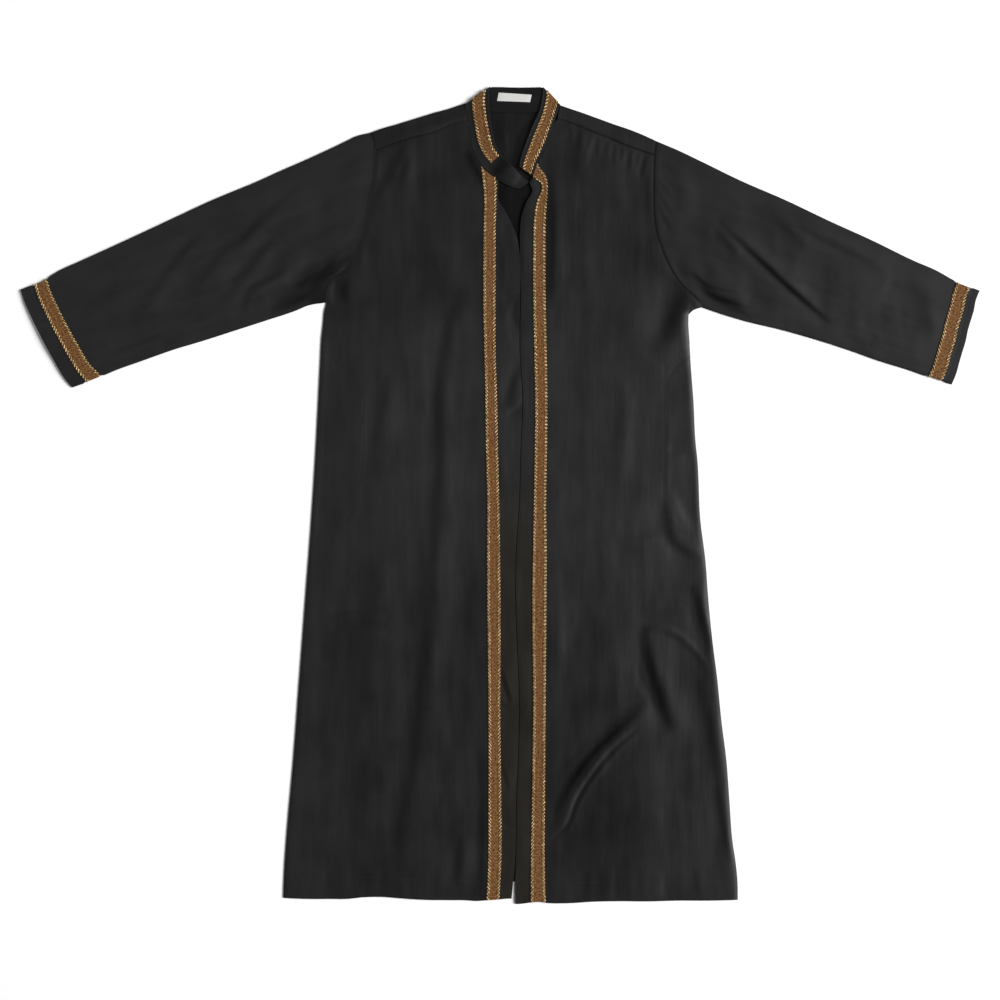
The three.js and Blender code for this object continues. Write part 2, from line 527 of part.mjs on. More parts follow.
function backGrid() {
  const columnCount = 2 * shoulderColumns + neckColumns;
  const levels = [];
  for (let i = 1; i < armholeRows; i += 1) {
    levels.push({ right: rightArmhole[i].y, left: leftArmhole[i].y });
  }
  for (let i = 1; i <= sideRows; i += 1) {
    const share = i / sideRows;
    levels.push({
      right: mix(rightArmhole[armholeRows - 1].y, frontHem.right + 1, share),
      left: mix(leftArmhole[armholeRows - 1].y, frontHem.right + 1, share),
    });
  }
  const rows = [];
  const folds = { right: rightShoulderFold, left: leftShoulderFold };
  const seams = { right: rightShoulderSeam, left: leftShoulderSeam };
  const edges = {
    right: shifted(rightShoulderSeam, seamGap),
    left: shifted(leftShoulderSeam, -seamGap),
  };
  const armholes = { right: rightArmhole, left: leftArmhole };
  const roll = [
    { share: 1, z: armholeTop(0.15) },
    { share: 0.55, z: 0.5 * (armholeTop(0.15) + shoulderRoll) },
    { share: 0.12, z: shoulderRoll },
    { share: 0.03, z: shoulderRoll - 0.7 },
    { share: 0, z: shoulderRoll / 2 },
    { share: 0.03, z: 0.7 },
    { share: 0.12, z: 0 },
  ];
  for (const station of roll) {
    const row = [];
    for (let j = 0; j <= columnCount; j += 1) {
      const onRight = j <= shoulderColumns;
      const onLeft = j >= columnCount - shoulderColumns;
      const lowest = station === roll[roll.length - 1];
      if (!onRight && !onLeft) {
        const neck = backTop(j / columnCount);
        row.push(lowest ? new THREE.Vector3(neck.x, neck.y, 0) : null);
        continue;
      }
      const share = onRight ? j / shoulderColumns : (columnCount - j) / shoulderColumns;
      const side = onRight ? "right" : "left";
      const place = along(folds[side], share).lerp(along(edges[side], share), station.share);
      const straight = flat(folds[side][0]).lerp(flat(edges[side][0]), station.share);
      const curved = onRows(armholes[side].slice(0, seamRow + 1), station.share);
      place.addScaledVector(curved.sub(straight), (1 - share) ** 2);
      row.push(new THREE.Vector3(place.x, place.y, station.z));
    }
    rows.push(row);
  }
  for (const level of levels) {
    const row = [];
    for (let j = 0; j <= columnCount; j += 1) {
      const share = j / columnCount;
      const top = backTop(share);
      const right = (level.right - rightArmhole[0].y) / (frontHem.right + 1 - rightArmhole[0].y);
      const left = (level.left - leftArmhole[0].y) / (frontHem.right + 1 - leftArmhole[0].y);
      const drop = mix(right, left, share);
      const y = mix(top.y, backHemY(share), drop);
      const rightX = sideX("right", rightArmhole, mix(rightArmhole[0].y, frontHem.right + 1, drop));
      const leftX = sideX("left", leftArmhole, mix(leftArmhole[0].y, frontHem.right + 1, drop));
      const spread = mix(
        (top.x - rightArmhole[0].x) / (leftArmhole[0].x - rightArmhole[0].x),
        share,
        ease(0, 0.3, drop),
      );
      row.push(new THREE.Vector3(mix(rightX, leftX, spread), y, 0));
    }
    rows.push(row);
  }
  return rows;
}

// ---- fronts ----
const frontShapes = {
  right: {
    armhole: rightArmhole,
    seam: rightShoulderSeam,
    neck: rightNeck,
    edge: rightFrontEdge,
    folds: rightFrontFolds,
    hemWave: 1.4,
  },
  left: {
    armhole: leftArmhole,
    seam: leftShoulderSeam,
    neck: leftNeck,
    edge: leftFrontEdge,
    folds: leftFrontFolds,
    hemWave: 2,
  },
};
const bodyColumns = 14;
const columnCrowding = 1.3;
const ribbonColumns = 2;
const placketColumns = 2;
const frontSideRows = 22;

// The top line of a front: its shoulder seam, then its neck.
function frontTopY(shape, x) {
  const line = [...shape.seam, ...shape.neck];
  return read(line, "x", x, "y");
}

function frontX(side, shape, column, y) {
  const outer = sideX(side, shape.armhole, y);
  const ribbonOuter = read(shape.edge, "y", y, "outer");
  const ribbonInner = read(shape.edge, "y", y, "inner");
  if (column <= bodyColumns) {
    return mix(outer, ribbonOuter, 1 - (1 - column / bodyColumns) ** columnCrowding);
  }
  if (column <= bodyColumns + ribbonColumns) {
    return mix(ribbonOuter, ribbonInner, (column - bodyColumns) / ribbonColumns);
  }
  const share = (column - bodyColumns - ribbonColumns) / placketColumns;
  return mix(ribbonInner, read(shape.edge, "y", y, "edge"), share);
}

function columnTop(side, shape, column) {
  let high = 620;
  let low = 420;
  for (let step = 0; step < 40; step += 1) {
    const middle = (high + low) / 2;
    if (middle > frontTopY(shape, frontX(side, shape, column, middle))) high = middle;
    else low = middle;
  }
  const atNeck = Math.abs(frontX(side, shape, column, low) - shape.armhole[0].x) > shoulderWidth;
  return atNeck ? low - neckClear : low;
}

function frontZ(side, shape, x, y, inward) {
  const armholeTopY = shape.armhole[0].y;
  const armholeLowY = shape.armhole[armholeRows - 1].y;
  const place = (armholeTopY - y) / (armholeTopY - armholeLowY);
  const outer = place < 1 ? armholeTop(place) : lowestTop;
  const hemShare = ease(0, 60, y - frontHem[side]);
  const inner = lowestTop + frontLoft * mix(0.35, 1, hemShare);
  const level = mix(outer, inner, ease(0, loftReach, inward));
  const folds = foldRise(shape.folds, x, y) * ease(-2, 14, inward);
  return Math.max(level + folds, lowestTop);
}

function frontGrid(side) {
  const shape = frontShapes[side];
  const columnCount = bodyColumns + ribbonColumns + placketColumns;
  const outerTop = shape.armhole[seamRow].y;
  const hemY = frontHem[side];
  const lowest = shape.armhole[armholeRows - 1].y;
  const levels = shape.armhole.slice(seamRow).map((row) => row.y);
  for (let i = 1; i <= frontSideRows; i += 1) levels.push(mix(lowest, hemY, i / frontSideRows));
  return levels.map((level) => {
    const drop = (outerTop - level) / (outerTop - hemY);
    const row = [];
    for (let j = 0; j <= columnCount; j += 1) {
      const top = j === 0 ? outerTop : columnTop(side, shape, j);
      const wave = shape.hemWave * Math.sin(j * 1.1);
      const y = mix(top, hemY + (j === 0 ? 0 : wave * ease(0.9, 1, drop)), drop);
      const x = frontX(side, shape, j, y);
      const inward = Math.abs(x - sideX(side, shape.armhole, y));
      row.push(new THREE.Vector3(x, y, frontZ(side, shape, x, y, inward)));
    }
    return row;
  });
}

// ---- sleeves ----
// A sleeve is cut to the armhole, a seam gap away from it.
function sleeveShape(armholeRows, gap, top, under, cuff, folds) {
  const armhole = shifted(armholeRows, gap);
  return {
    armhole,
    top: [armhole[0], ...top.slice(1)],
    under: [armhole[armhole.length - 1], ...under.slice(1)],
    cuff,
    folds,
  };
}
const sleeveShapes = {
  right: sleeveShape(
    rightArmhole, -seamGap, rightSleeveTop, rightSleeveUnder, rightCuff, rightSleeveFolds,
  ),
  left: sleeveShape(
    leftArmhole, seamGap, leftSleeveTop, leftSleeveUnder, leftCuff, leftSleeveFolds,
  ),
};
const sleeveStations = [0, 0.05, 0.11, 0.17, 0.23, 0.3, 0.37, 0.44, 0.51, 0.58, 0.65, 0.72, 0.79, 0.86, 0.9];

// A place on a sleeve, from its four edges.
function sleevePlace(shape, reach, across) {
  const near = onRows(shape.armhole, across);
  const far = along(shape.cuff, across);
  const top = along(shape.top, reach);
  const under = along(shape.under, reach);
  const place = near.clone().lerp(far, reach).add(top.clone().lerp(under, across));
  const nearEnds = flat(shape.armhole[0]).lerp(flat(shape.armhole[armholeRows - 1]), across);
  const farEnds = flat(shape.cuff[0]).lerp(flat(shape.cuff[shape.cuff.length - 1]), across);
  return place.sub(nearEnds.lerp(farEnds, reach));
}

function sleeveRows(side) {
  const shape = sleeveShapes[side];
  const length = flat(shape.top[0]).distanceTo(flat(shape.cuff[0]));
  const ribbonEnd = 1 - cuffHem / length;
  const ribbonStart = ribbonEnd - cuffRibbon / length;
  const ramp = 8 / length;
  const stations = [...sleeveStations.filter((reach) => reach < ribbonStart - 2 * ramp)];
  const ribbonRow = stations.length + 1;
  stations.push(ribbonStart - ramp, ribbonStart, ribbonEnd, ribbonEnd + ramp, 1);
  const spots = armholeRows - 1;
  const grid = stations.map((reach) => {
    const raised = reach >= ribbonStart && reach <= ribbonEnd ? cuffLift : 0;
    const top = sleevePlace(shape, reach, 0);
    const under = sleevePlace(shape, reach, 1);
    const width = top.distanceTo(under);
    const inset = (edgeInset + raised) / width;
    const across = [];
    for (let k = 0; k <= spots; k += 1) {
      if (k === 0) across.push(inset);
      else if (k === spots) across.push(1 - inset);
      else across.push(k / spots);
    }
    const height = (share, place) => {
      const near = armholeTop(share);
      const far = lowestTop + sleeveLoft * arch(share) ** 0.8;
      const folds = foldRise(shape.folds, place.x, place.y) * ease(0, 0.04, reach) * arch(share);
      const level = mix(near, far, ease(0, 0.12, reach)) + folds;
      return Math.max(level, lowestTop + raised);
    };
    const ring = [];
    across.forEach((share) => {
      const place = sleevePlace(shape, reach, share);
      ring.push(new THREE.Vector3(place.x, place.y, raised));
    });
    const middle = (raised + lowestTop) / 2;
    const underEdge = sleevePlace(shape, reach, 1 - raised / width);
    ring.push(new THREE.Vector3(underEdge.x, underEdge.y, middle));
    [...across].reverse().forEach((share) => {
      const place = sleevePlace(shape, reach, share);
      ring.push(new THREE.Vector3(place.x, place.y, height(share, place)));
    });
    const topEdge = sleevePlace(shape, reach, raised / width);
    ring.push(new THREE.Vector3(topEdge.x, topEdge.y, middle));
    return ring;
  });
  return { grid, ribbonRow };
}

// ---- collar ----
const collarShares = (row) => [
  0, row.trimOuter, (row.trimOuter + row.trimInner) / 2, row.trimInner, 1,
];

function collarLine(row, seamZ = row.seamZ, edgeZ = row.edgeZ, outward = 0, clear = seamGap) {
  const seam = new THREE.Vector3(row.seamX, row.seamY, seamZ);
  const edge = new THREE.Vector3(row.edgeX, row.edgeY, edgeZ);
  const run = edge.clone().sub(seam).setZ(0).normalize();
  seam.addScaledVector(run, clear);
  const side = new THREE.Vector3(-run.y, run.x, 0).multiplyScalar(outward);
  return collarShares(row).map((share) => seam.clone().lerp(edge, share).add(side));
}

function collarGrid() {
  const underZ = ribbonWall + layerGap + footClear;
  const rightFold = collarRightFront[collarRightFront.length - 1];
  const leftFold = collarLeftFront[0];
  const rollTop = rightFold.seamZ;
  const middle = (underZ + rollTop) / 2;
  const curl = [
    { z: rollTop, out: -2 },
    { z: rollTop - 0.8, out: -0.4 },
    { z: middle, out: 0.2 },
    { z: underZ + 0.8, out: -0.4 },
    { z: underZ, out: -2 },
  ];
  const rows = collarRightFront.slice(0, -1).map((row) => collarLine(row));
  curl.forEach((step) => rows.push(collarLine(rightFold, step.z, step.z, step.out)));
  collarBack.forEach((row) => rows.push(collarLine(row, underZ, underZ)));
  [...curl].reverse().forEach((step) => rows.push(collarLine(leftFold, step.z, step.z, -step.out)));
  collarLeftFront.slice(1).forEach((row) => rows.push(collarLine(row)));
  return rows;
}

// ---- the robe ----
const group = new THREE.Group();
group.name = "robe";

const back = sheetOf(backGrid());
group.add(wallMesh("back_panel", back, 0, -clothWall, satin));

for (const side of ["right", "left"]) {
  const front = sheetOf(frontGrid(side), { turned: side === "right", upright: true });
  group.add(wallMesh("front_" + side, front, 0, -clothWall, satin));
  const lastRow = front.grid.length - 1;
  const strip = partOf(front, [0, lastRow], [bodyColumns, bodyColumns + ribbonColumns]);
  group.add(wallMesh("trim_front_" + side, strip, layerGap + ribbonWall, layerGap, ribbon));

  const { grid, ribbonRow } = sleeveRows(side);
  const sleeve = sheetOf(grid, { ring: true, turned: side === "left" });
  group.add(wallMesh("sleeve_" + side, sleeve, 0, -clothWall, satin));
  const cuffStrip = partOf(sleeve, [ribbonRow, ribbonRow + 1]);
  group.add(wallMesh("trim_cuff_" + side, cuffStrip, layerGap + ribbonWall, layerGap, ribbon));
}

const collar = sheetOf(collarGrid());
group.add(wallMesh("collar", collar, 0, -collarWall, satin));
const ribbonStart = 3;
const collarStrip = partOf(collar, [ribbonStart, collar.grid.length - 1], [1, 3]);
group.add(wallMesh("trim_collar", collarStrip, layerGap + ribbonWall, layerGap, ribbon));

const labelZ = footClear + ribbonWall + layerGap + collarWall + layerGap + labelWall;
const [topLeft, topRight, lowRight, lowLeft] = labelCorners;
const labelGrid = [];
for (let i = 0; i <= labelRows; i += 1) {
  const from = flat(topLeft).lerp(flat(lowLeft), i / labelRows);
  const to = flat(topRight).lerp(flat(lowRight), i / labelRows);
  labelGrid.push([from, to].map((place) => new THREE.Vector3(place.x, place.y, labelZ)));
}
const label = sheetOf(labelGrid, { turned: true });
group.add(wallMesh("neck_label", label, 0, -labelWall, labelCloth));

export default group;
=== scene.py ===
import math
import bpy
import numpy as np
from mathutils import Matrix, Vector


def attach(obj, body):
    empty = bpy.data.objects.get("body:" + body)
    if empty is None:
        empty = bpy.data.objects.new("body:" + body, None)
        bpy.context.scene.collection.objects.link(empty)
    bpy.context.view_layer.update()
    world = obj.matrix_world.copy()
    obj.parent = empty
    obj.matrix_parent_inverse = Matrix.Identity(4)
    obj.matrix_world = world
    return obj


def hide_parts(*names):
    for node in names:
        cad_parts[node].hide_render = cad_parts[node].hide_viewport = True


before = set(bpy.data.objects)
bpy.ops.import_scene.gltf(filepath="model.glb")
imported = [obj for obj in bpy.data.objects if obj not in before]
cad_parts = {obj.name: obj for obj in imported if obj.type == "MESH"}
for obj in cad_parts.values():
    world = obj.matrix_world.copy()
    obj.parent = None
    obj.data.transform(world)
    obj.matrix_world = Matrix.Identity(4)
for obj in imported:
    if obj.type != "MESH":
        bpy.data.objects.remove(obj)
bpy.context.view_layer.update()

print("frame loaded")

# All tables are in millimetres, +X to the wearer's left, +Y to the neck.
mm = 0.001
lightSide = (0.97, -0.24)  # a fold's step is counted up towards this side
tuckRows = 2  # rows that tucked puts before a sheet's own


def ease(low, high, value):
    t = np.clip((value - low) / (high - low), 0, 1)
    return t * t * (3 - 2 * t)


def plateau(value, start, full, last, end):
    # 0 before the start and past the end, 1 from full to last
    return ease(start, full, value) * (1 - ease(last, end, value))


def mix(a, b, t):
    return a + (b - a) * t


def unit(vectors):
    return vectors / (np.linalg.norm(vectors, axis=-1, keepdims=True) + 1e-9)


def groove(distance, width=2.5):
    # 1 on a line, and nearly 0 at twice the width from it
    return np.exp(-(distance / width) ** 2)


def lengthAlong(points):
    return np.r_[0, np.cumsum(np.linalg.norm(np.diff(points, axis=0), axis=1))]


def smoothLine(points, count=240):
    p = np.array(points, float)
    t = lengthAlong(p[:, :2])
    slopes = np.gradient(p, t, axis=0) if len(p) > 2 else np.repeat((p[1:] - p[:1]) / t[-1], 2, axis=0)
    s = np.linspace(0, t[-1], count)
    i = np.clip(np.searchsorted(t, s, side="right") - 1, 0, len(t) - 2)
    h = (t[i + 1] - t[i])[:, None]
    u = (s - t[i])[:, None] / h
    a = p[i] * (1 + 2 * u) * (1 - u) ** 2 + p[i + 1] * u * u * (3 - 2 * u)
    return a + h * (slopes[i] * u * (1 - u) ** 2 + slopes[i + 1] * u * u * (u - 1))


def at(line, share):
    place = np.clip(share, 0, 1) * (len(line) - 1)
    i = np.minimum(place.astype(int), len(line) - 2)
    return line[i] + (line[i + 1] - line[i]) * (place - i)[..., None]


def edgeX(line, y):
    order = np.argsort(line[:, 1])
    return np.interp(y, line[order, 1], line[order, 0])


def edgeY(line, x):
    order = np.argsort(line[:, 0])
    return np.interp(x, line[order, 0], line[order, 1])


def rippleField(x, y, size, seed):
    # soft uneven ripples about one size across, between -1 and 1
    count, middle = 96, 40
    lattice = np.random.default_rng(seed).uniform(-1, 1, (count, count))
    gx, gy = x / size + middle, y / size + middle
    ix, iy = np.floor(gx).astype(int), np.floor(gy).astype(int)
    fx, fy = ease(0, 1, gx - ix), ease(0, 1, gy - iy)

    def value(a, b):
        return lattice[a % count, b % count]

    low = mix(value(ix, iy), value(ix + 1, iy), fx)
    high = mix(value(ix, iy + 1), value(ix + 1, iy + 1), fx)
    return mix(low, high, fy)


# ripples from broad to fine: how far y is pressed together, their size and their height
rippleSizes = ((0.4, 46, 0.7), (0.4, 19, 0.27), (0.45, 11, 0.08))


def ripples(x, y, seed):
    total = 0
    for step, (press, size, height) in enumerate(rippleSizes):
        total = total + rippleField(x, y * press, size, seed + step) * height
    return total


# the last entry is how much painted shade a fold's step leaves along it
crease = {"reach": 5.0, "spread": 3.0, "taper": 0.6, "foldShade": 0.12}


def foldField(x, y, folds, hollow=False):
    # each fold: its run, its half width, and how far the cloth steps up across it on the lit side
    # a hollow has a depth of shade in place of the step, deepest along its run
    total = np.zeros(x.shape)
    for run, width, rise in folds:
        line = smoothLine(run, 8 * len(run))
        reach = crease["reach"] * width
        near = (x > line[:, 0].min() - reach) & (x < line[:, 0].max() + reach)
        near &= (y > line[:, 1].min() - reach) & (y < line[:, 1].max() + reach)
        if not near.any():
            continue
        spots = np.stack([x[near], y[near]], axis=1)[:, None, :]
        start, step = line[None, :-1, :], np.diff(line, axis=0)[None]
        share = np.clip(((spots - start) * step).sum(2) / (step ** 2).sum(2), 0, 1)
        gap = spots - start - step * share[..., None]
        best = np.linalg.norm(gap, axis=2).argmin(axis=1)
        rows = np.arange(len(best))
        gap, step = gap[rows, best], step[0, best]
        away = np.linalg.norm(gap, axis=1)
        along = (best + share[rows, best]) / (len(line) - 1)
        depth = rise * np.sin(np.pi * np.clip(along, 0, 1)) ** crease["taper"]
        if hollow:
            total[near] = np.maximum(total[near], depth * groove(away, width))
            continue
        span = line[-1] - line[0]
        lit = 1 if span[1] * lightSide[0] - span[0] * lightSide[1] > 0 else -1
        across = lit * (gap[:, 0] * step[:, 1] - gap[:, 1] * step[:, 0]) / np.linalg.norm(step, axis=1)
        total[near] += 0.5 * depth * np.tanh(across / width) * groove(away, crease["spread"] * width)
    return total


def foldShade(x, y, folds, shadeHollows):
    # painted shade in the folds and hollows: the satin's sheen is turned down along them, where shade falls
    steps = [(run, width, crease["foldShade"] * rise) for run, width, rise in folds if rise > 0]
    return foldField(x, y, steps, True) + foldField(x, y, shadeHollows, True)


def hexColour(code):
    parts = [int(code[i:i + 2], 16) / 255 for i in (1, 3, 5)]
    return (*[v / 12.92 if v <= 0.04045 else ((v + 0.055) / 1.055) ** 2.4 for v in parts], 1.0)


def newThing(name, data):
    thing = bpy.data.objects.new(name, data)
    bpy.context.collection.objects.link(thing)
    return thing


def gridMesh(name, grid, ring=False, turned=False, uv=None, values=None):
    # a sheet of quads from rows of points; faces look along the rows' cross product
    rows, columns = grid.shape[:2]
    verts = grid.reshape(-1, 3) * mm
    kept = np.isfinite(verts[:, 0])
    r = np.arange(rows - 1)[:, None] * columns
    c = np.arange(columns if ring else columns - 1)[None, :]
    n = (c + 1) % columns
    faces = np.stack([r + c, r + n, r + columns + n, r + columns + c], axis=2).reshape(-1, 4)
    if turned:
        faces = faces[:, ::-1]
    faces = faces[kept[faces].all(axis=1)]  # cells with a missing corner are left out
    number = np.cumsum(kept) - 1
    mesh = bpy.data.meshes.new(name)
    mesh.vertices.add(int(kept.sum()))
    mesh.vertices.foreach_set("co", verts[kept].ravel())
    mesh.loops.add(faces.size)
    mesh.loops.foreach_set("vertex_index", number[faces].ravel())
    mesh.polygons.add(len(faces))
    mesh.polygons.foreach_set("loop_start", np.arange(0, faces.size, 4))
    mesh.polygons.foreach_set("loop_total", np.full(len(faces), 4))
    mesh.update(calc_edges=True)
    if uv is not None:
        layer = mesh.uv_layers.new(name="grain")
        layer.data.foreach_set("uv", (uv.reshape(-1, 2)[faces.ravel()] * mm).ravel())
    for key, field in (values or {}).items():
        item = mesh.attributes.new(key, "FLOAT", "POINT")
        item.data.foreach_set("value", field.ravel()[kept].astype(np.float32))
    mesh.shade_smooth()
    sides = np.zeros(faces.size, np.int32)
    mesh.loops.foreach_get("edge_index", sides)
    cut = mesh.attributes.new("sharp_edge", "BOOLEAN", "EDGE")
    cut.data.foreach_set("value", np.bincount(sides, minlength=len(mesh.edges)) == 1)
    return newThing(name, mesh)


def tucked(grid, tuck):
    # the seam allowance turns down just past the seam; the row beside it keeps the turn tight
    return np.concatenate([tuck[None], grid[:1], mix(grid[:1], grid[1:2], 0.08), grid[1:]])


def place(thing, slot, node=None):
    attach(thing, "root")
    if node:
        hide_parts(node)
    return thing


def cutPiece(name, grid, node, stuff, thickness, **more):
    # a sheet with its outer face on the grid and its thickness under it
    material, slot = stuff
    piece = gridMesh(name, grid, **more)
    piece.data.materials.append(material)
    shell = piece.modifiers.new("thickness", "SOLIDIFY")
    shell.thickness = thickness * mm
    shell.offset = -1
    return place(piece, slot, node)


def addNode(tree, kind, settings=None, inputs=None):
    # a node given as an input stands for the first of its outputs that is in use
    node = tree.nodes.new(kind)
    for key, value in (settings or {}).items():
        setattr(node, key, value)
    for key, value in (inputs or {}).items():
        if isinstance(value, bpy.types.Node):
            value = next(output for output in value.outputs if output.enabled)
        if isinstance(value, bpy.types.NodeSocket):
            tree.links.new(value, node.inputs[key])
        else:
            node.inputs[key].default_value = value
    return node


def newMaterial(name):
    material = bpy.data.materials.new(name)
    material.use_nodes = True
    material.node_tree.nodes.clear()
    return material, material.node_tree


def painted(tree, name):
    return addNode(tree, "ShaderNodeAttribute", {"attribute_name": name}).outputs["Fac"]


def stretched(tree, vector, width, length):
    scale = (1 / (width * mm), 1 / (length * mm), 1)
    return addNode(tree, "ShaderNodeMapping", inputs={"Vector": vector, "Scale": scale})


def noise(tree, vector, scale=1.0, detail=2.0, roughness=0.5):
    return addNode(tree, "ShaderNodeTexNoise", inputs={
        "Vector": vector, "Scale": scale, "Detail": detail, "Roughness": roughness,
    })


def remap(tree, value, given=(0.0, 1.0), wanted=(0.0, 1.0)):
    return addNode(tree, "ShaderNodeMapRange", inputs={
        "Value": value, "From Min": given[0], "From Max": given[1], "To Min": wanted[0], "To Max": wanted[1],
    })


def added(tree, a, b):
    return addNode(tree, "ShaderNodeMath", {"operation": "ADD"}, {0: a, 1: b})


def blend(tree, factor, a, b):
    return addNode(tree, "ShaderNodeMix", {"data_type": "RGBA"}, {"Factor": factor, "A": a, "B": b})


def bump(tree, height, strength, distance, under=None):
    inputs = {"Height": height, "Strength": strength, "Distance": distance}
    if under:
        inputs["Normal"] = under
    return addNode(tree, "ShaderNodeBump", inputs=inputs)


def addSurface(tree, inputs):
    shader = addNode(tree, "ShaderNodeBsdfPrincipled", inputs=inputs)
    addNode(tree, "ShaderNodeOutputMaterial", inputs={"Surface": shader})


satin = {
    "colour": "#080808",
    # the paler tone shows on the slubs, and where painted light lightens the cloth
    "paleSlubAndPaintedLight": "#1a1a1a",
    "warm": "#130f09",
    "roughness": 0.5,
    "unevenness": 0.07,
    "specular": 0.285,
    "threadPitch": 1.3,  # real threads are 0.2 mm apart; drawn coarser so that they show
    "threadLength": 1.3 / 0.22,
    "slub": 110.0,
    "slubWidth": 17.0,
    "patch": 70.0,
    "paintedLightLift": (-0.4, 0.02),
    "grit": 0.05,
    "weaveBump": (0.12, 0.0002),
    "slubBump": (0.8, 0.0006),
}


def satinMaterial():
    # black viscose satin, woven and pressed: dark, with a soft broad sheen along its floats
    material, tree = newMaterial("blackViscoseSatin")
    grain = addNode(tree, "ShaderNodeTexCoord").outputs["UV"]
    weave = noise(tree, stretched(tree, grain, satin["threadPitch"], satin["threadLength"]))
    cloudy = noise(tree, stretched(tree, grain, satin["slubWidth"], satin["slub"]), detail=4.0)
    pressed = noise(tree, grain, 1 / (satin["patch"] * mm), detail=5.0)
    # painted light: where the cloth is marked, its colour is pushed towards the paler tone, as if more light
    # fell there
    paintedLightLift = remap(tree, painted(tree, "paintedLight"), wanted=satin["paintedLightLift"])
    slubAndLightMix = added(tree, cloudy, paintedLightLift)
    shade = blend(tree, slubAndLightMix, hexColour(satin["colour"]), hexColour(satin["paleSlubAndPaintedLight"]))
    tint = blend(tree, painted(tree, "warmth"), shade, hexColour(satin["warm"]))
    # painted shade: where the cloth is marked, in folds, hollows and seams and on its matte inside face, the
    # sheen is turned down so that it reads darker
    shine = remap(tree, painted(tree, "matteAndPaintedShade"), (0.0, 2.0), (satin["specular"], 0.2 * satin["specular"]))
    smoothest, roughest = (satin["roughness"] + side * satin["unevenness"] for side in (-1, 1))
    base = remap(tree, pressed, (0.3, 0.7), (smoothest, roughest))
    rough = added(tree, base, remap(tree, weave, wanted=(-satin["grit"], satin["grit"])))
    relief = bump(tree, weave, *satin["weaveBump"], bump(tree, cloudy, *satin["slubBump"]))
    addSurface(tree, {"Base Color": tint, "Roughness": rough, "Specular IOR Level": shine, "Normal": relief})
    return material


woven = {
    "brown": "#7b5632",
    "brownDark": "#39230f",
    "gold": "#a27f49",
    "goldDark": "#5e421f",
    # the pale gold is painted glint for the cord's crowns
    "goldPaintedGlint": "#d2bc8e",
    "label": "#bebdba",
    "thread": "#0d0d0e",
    "threadWorn": "#131314",
    "ribWidth": 3.2,
    "ribLength": 2.4,
    "ribBump": (0.5, 0.0004),
    "strandScale": 620.0,
    "crownScale": 210.0,
    "labelScale": 320.0,
    "labelBump": (0.2, 0.0002),
    "twistScale": 900.0,
}


def ribbonMaterial():
    # woven rayon ribbon: matt brown ribs across its width
    material, tree = newMaterial("brownWovenRibbon")
    grain = addNode(tree, "ShaderNodeTexCoord").outputs["UV"]
    ribs = stretched(tree, grain, woven["ribWidth"], woven["ribLength"])
    cells = noise(tree, ribs, detail=2.5, roughness=0.6)
    tones = remap(tree, cells, (0.36, 0.64))
    shade = blend(tree, tones, hexColour(woven["brownDark"]), hexColour(woven["brown"]))
    relief = bump(tree, cells, *woven["ribBump"])
    addSurface(tree, {"Base Color": shade, "Roughness": 0.75, "Specular IOR Level": 0.12, "Normal": relief})
    return material


def braidMaterial():
    # metallised gold thread twisted into a cord: painted bright glints on its crowns, brown in the twist
    material, tree = newMaterial("goldTwistedThread")
    grain = addNode(tree, "ShaderNodeTexCoord").outputs["Object"]
    strands = noise(tree, grain, woven["strandScale"])
    # painted highlight: pale glints scattered over the cord
    paintedGlints = remap(tree, noise(tree, grain, woven["crownScale"], detail=1.0), (0.38, 0.66))
    fibre = blend(tree, strands, hexColour(woven["goldDark"]), hexColour(woven["gold"]))
    shade = blend(tree, paintedGlints, fibre, hexColour(woven["goldPaintedGlint"]))
    addSurface(tree, {"Base Color": shade, "Metallic": 0.35, "Roughness": 0.42, "Specular IOR Level": 0.5})
    return material


def labelMaterial():
    # damask label tape: smooth, bright and faintly ribbed
    material, tree = newMaterial("whiteDamaskTape")
    grain = addNode(tree, "ShaderNodeTexCoord").outputs["Object"]
    ribs = addNode(tree, "ShaderNodeTexWave", {"bands_direction": "Y"}, {
        "Vector": grain, "Scale": woven["labelScale"], "Distortion": 0.4,
    })
    relief = bump(tree, ribs.outputs["Fac"], *woven["labelBump"])
    addSurface(tree, {
        "Base Color": hexColour(woven["label"]), "Roughness": 0.5, "Sheen Weight": 0.2, "Normal": relief,
    })
    return material


def threadMaterial():
    # spun polyester sewing thread, a shade glossier than the cloth
    material, tree = newMaterial("blackSewingThread")
    grain = addNode(tree, "ShaderNodeTexCoord").outputs["Object"]
    twist = noise(tree, grain, woven["twistScale"])
    shade = blend(tree, twist, hexColour(woven["threadWorn"]), hexColour(woven["thread"]))
    addSurface(tree, {"Base Color": shade, "Roughness": 0.45})
    return material


# the stuff of a sheet is its material and its slot
satinCloth = (satinMaterial(), "satin_cloth")
ribbonWeave = (ribbonMaterial(), "woven_ribbon")
goldThread = braidMaterial()
labelTape = (labelMaterial(), "label_cloth")
sewingThread = threadMaterial()
print("materials made")


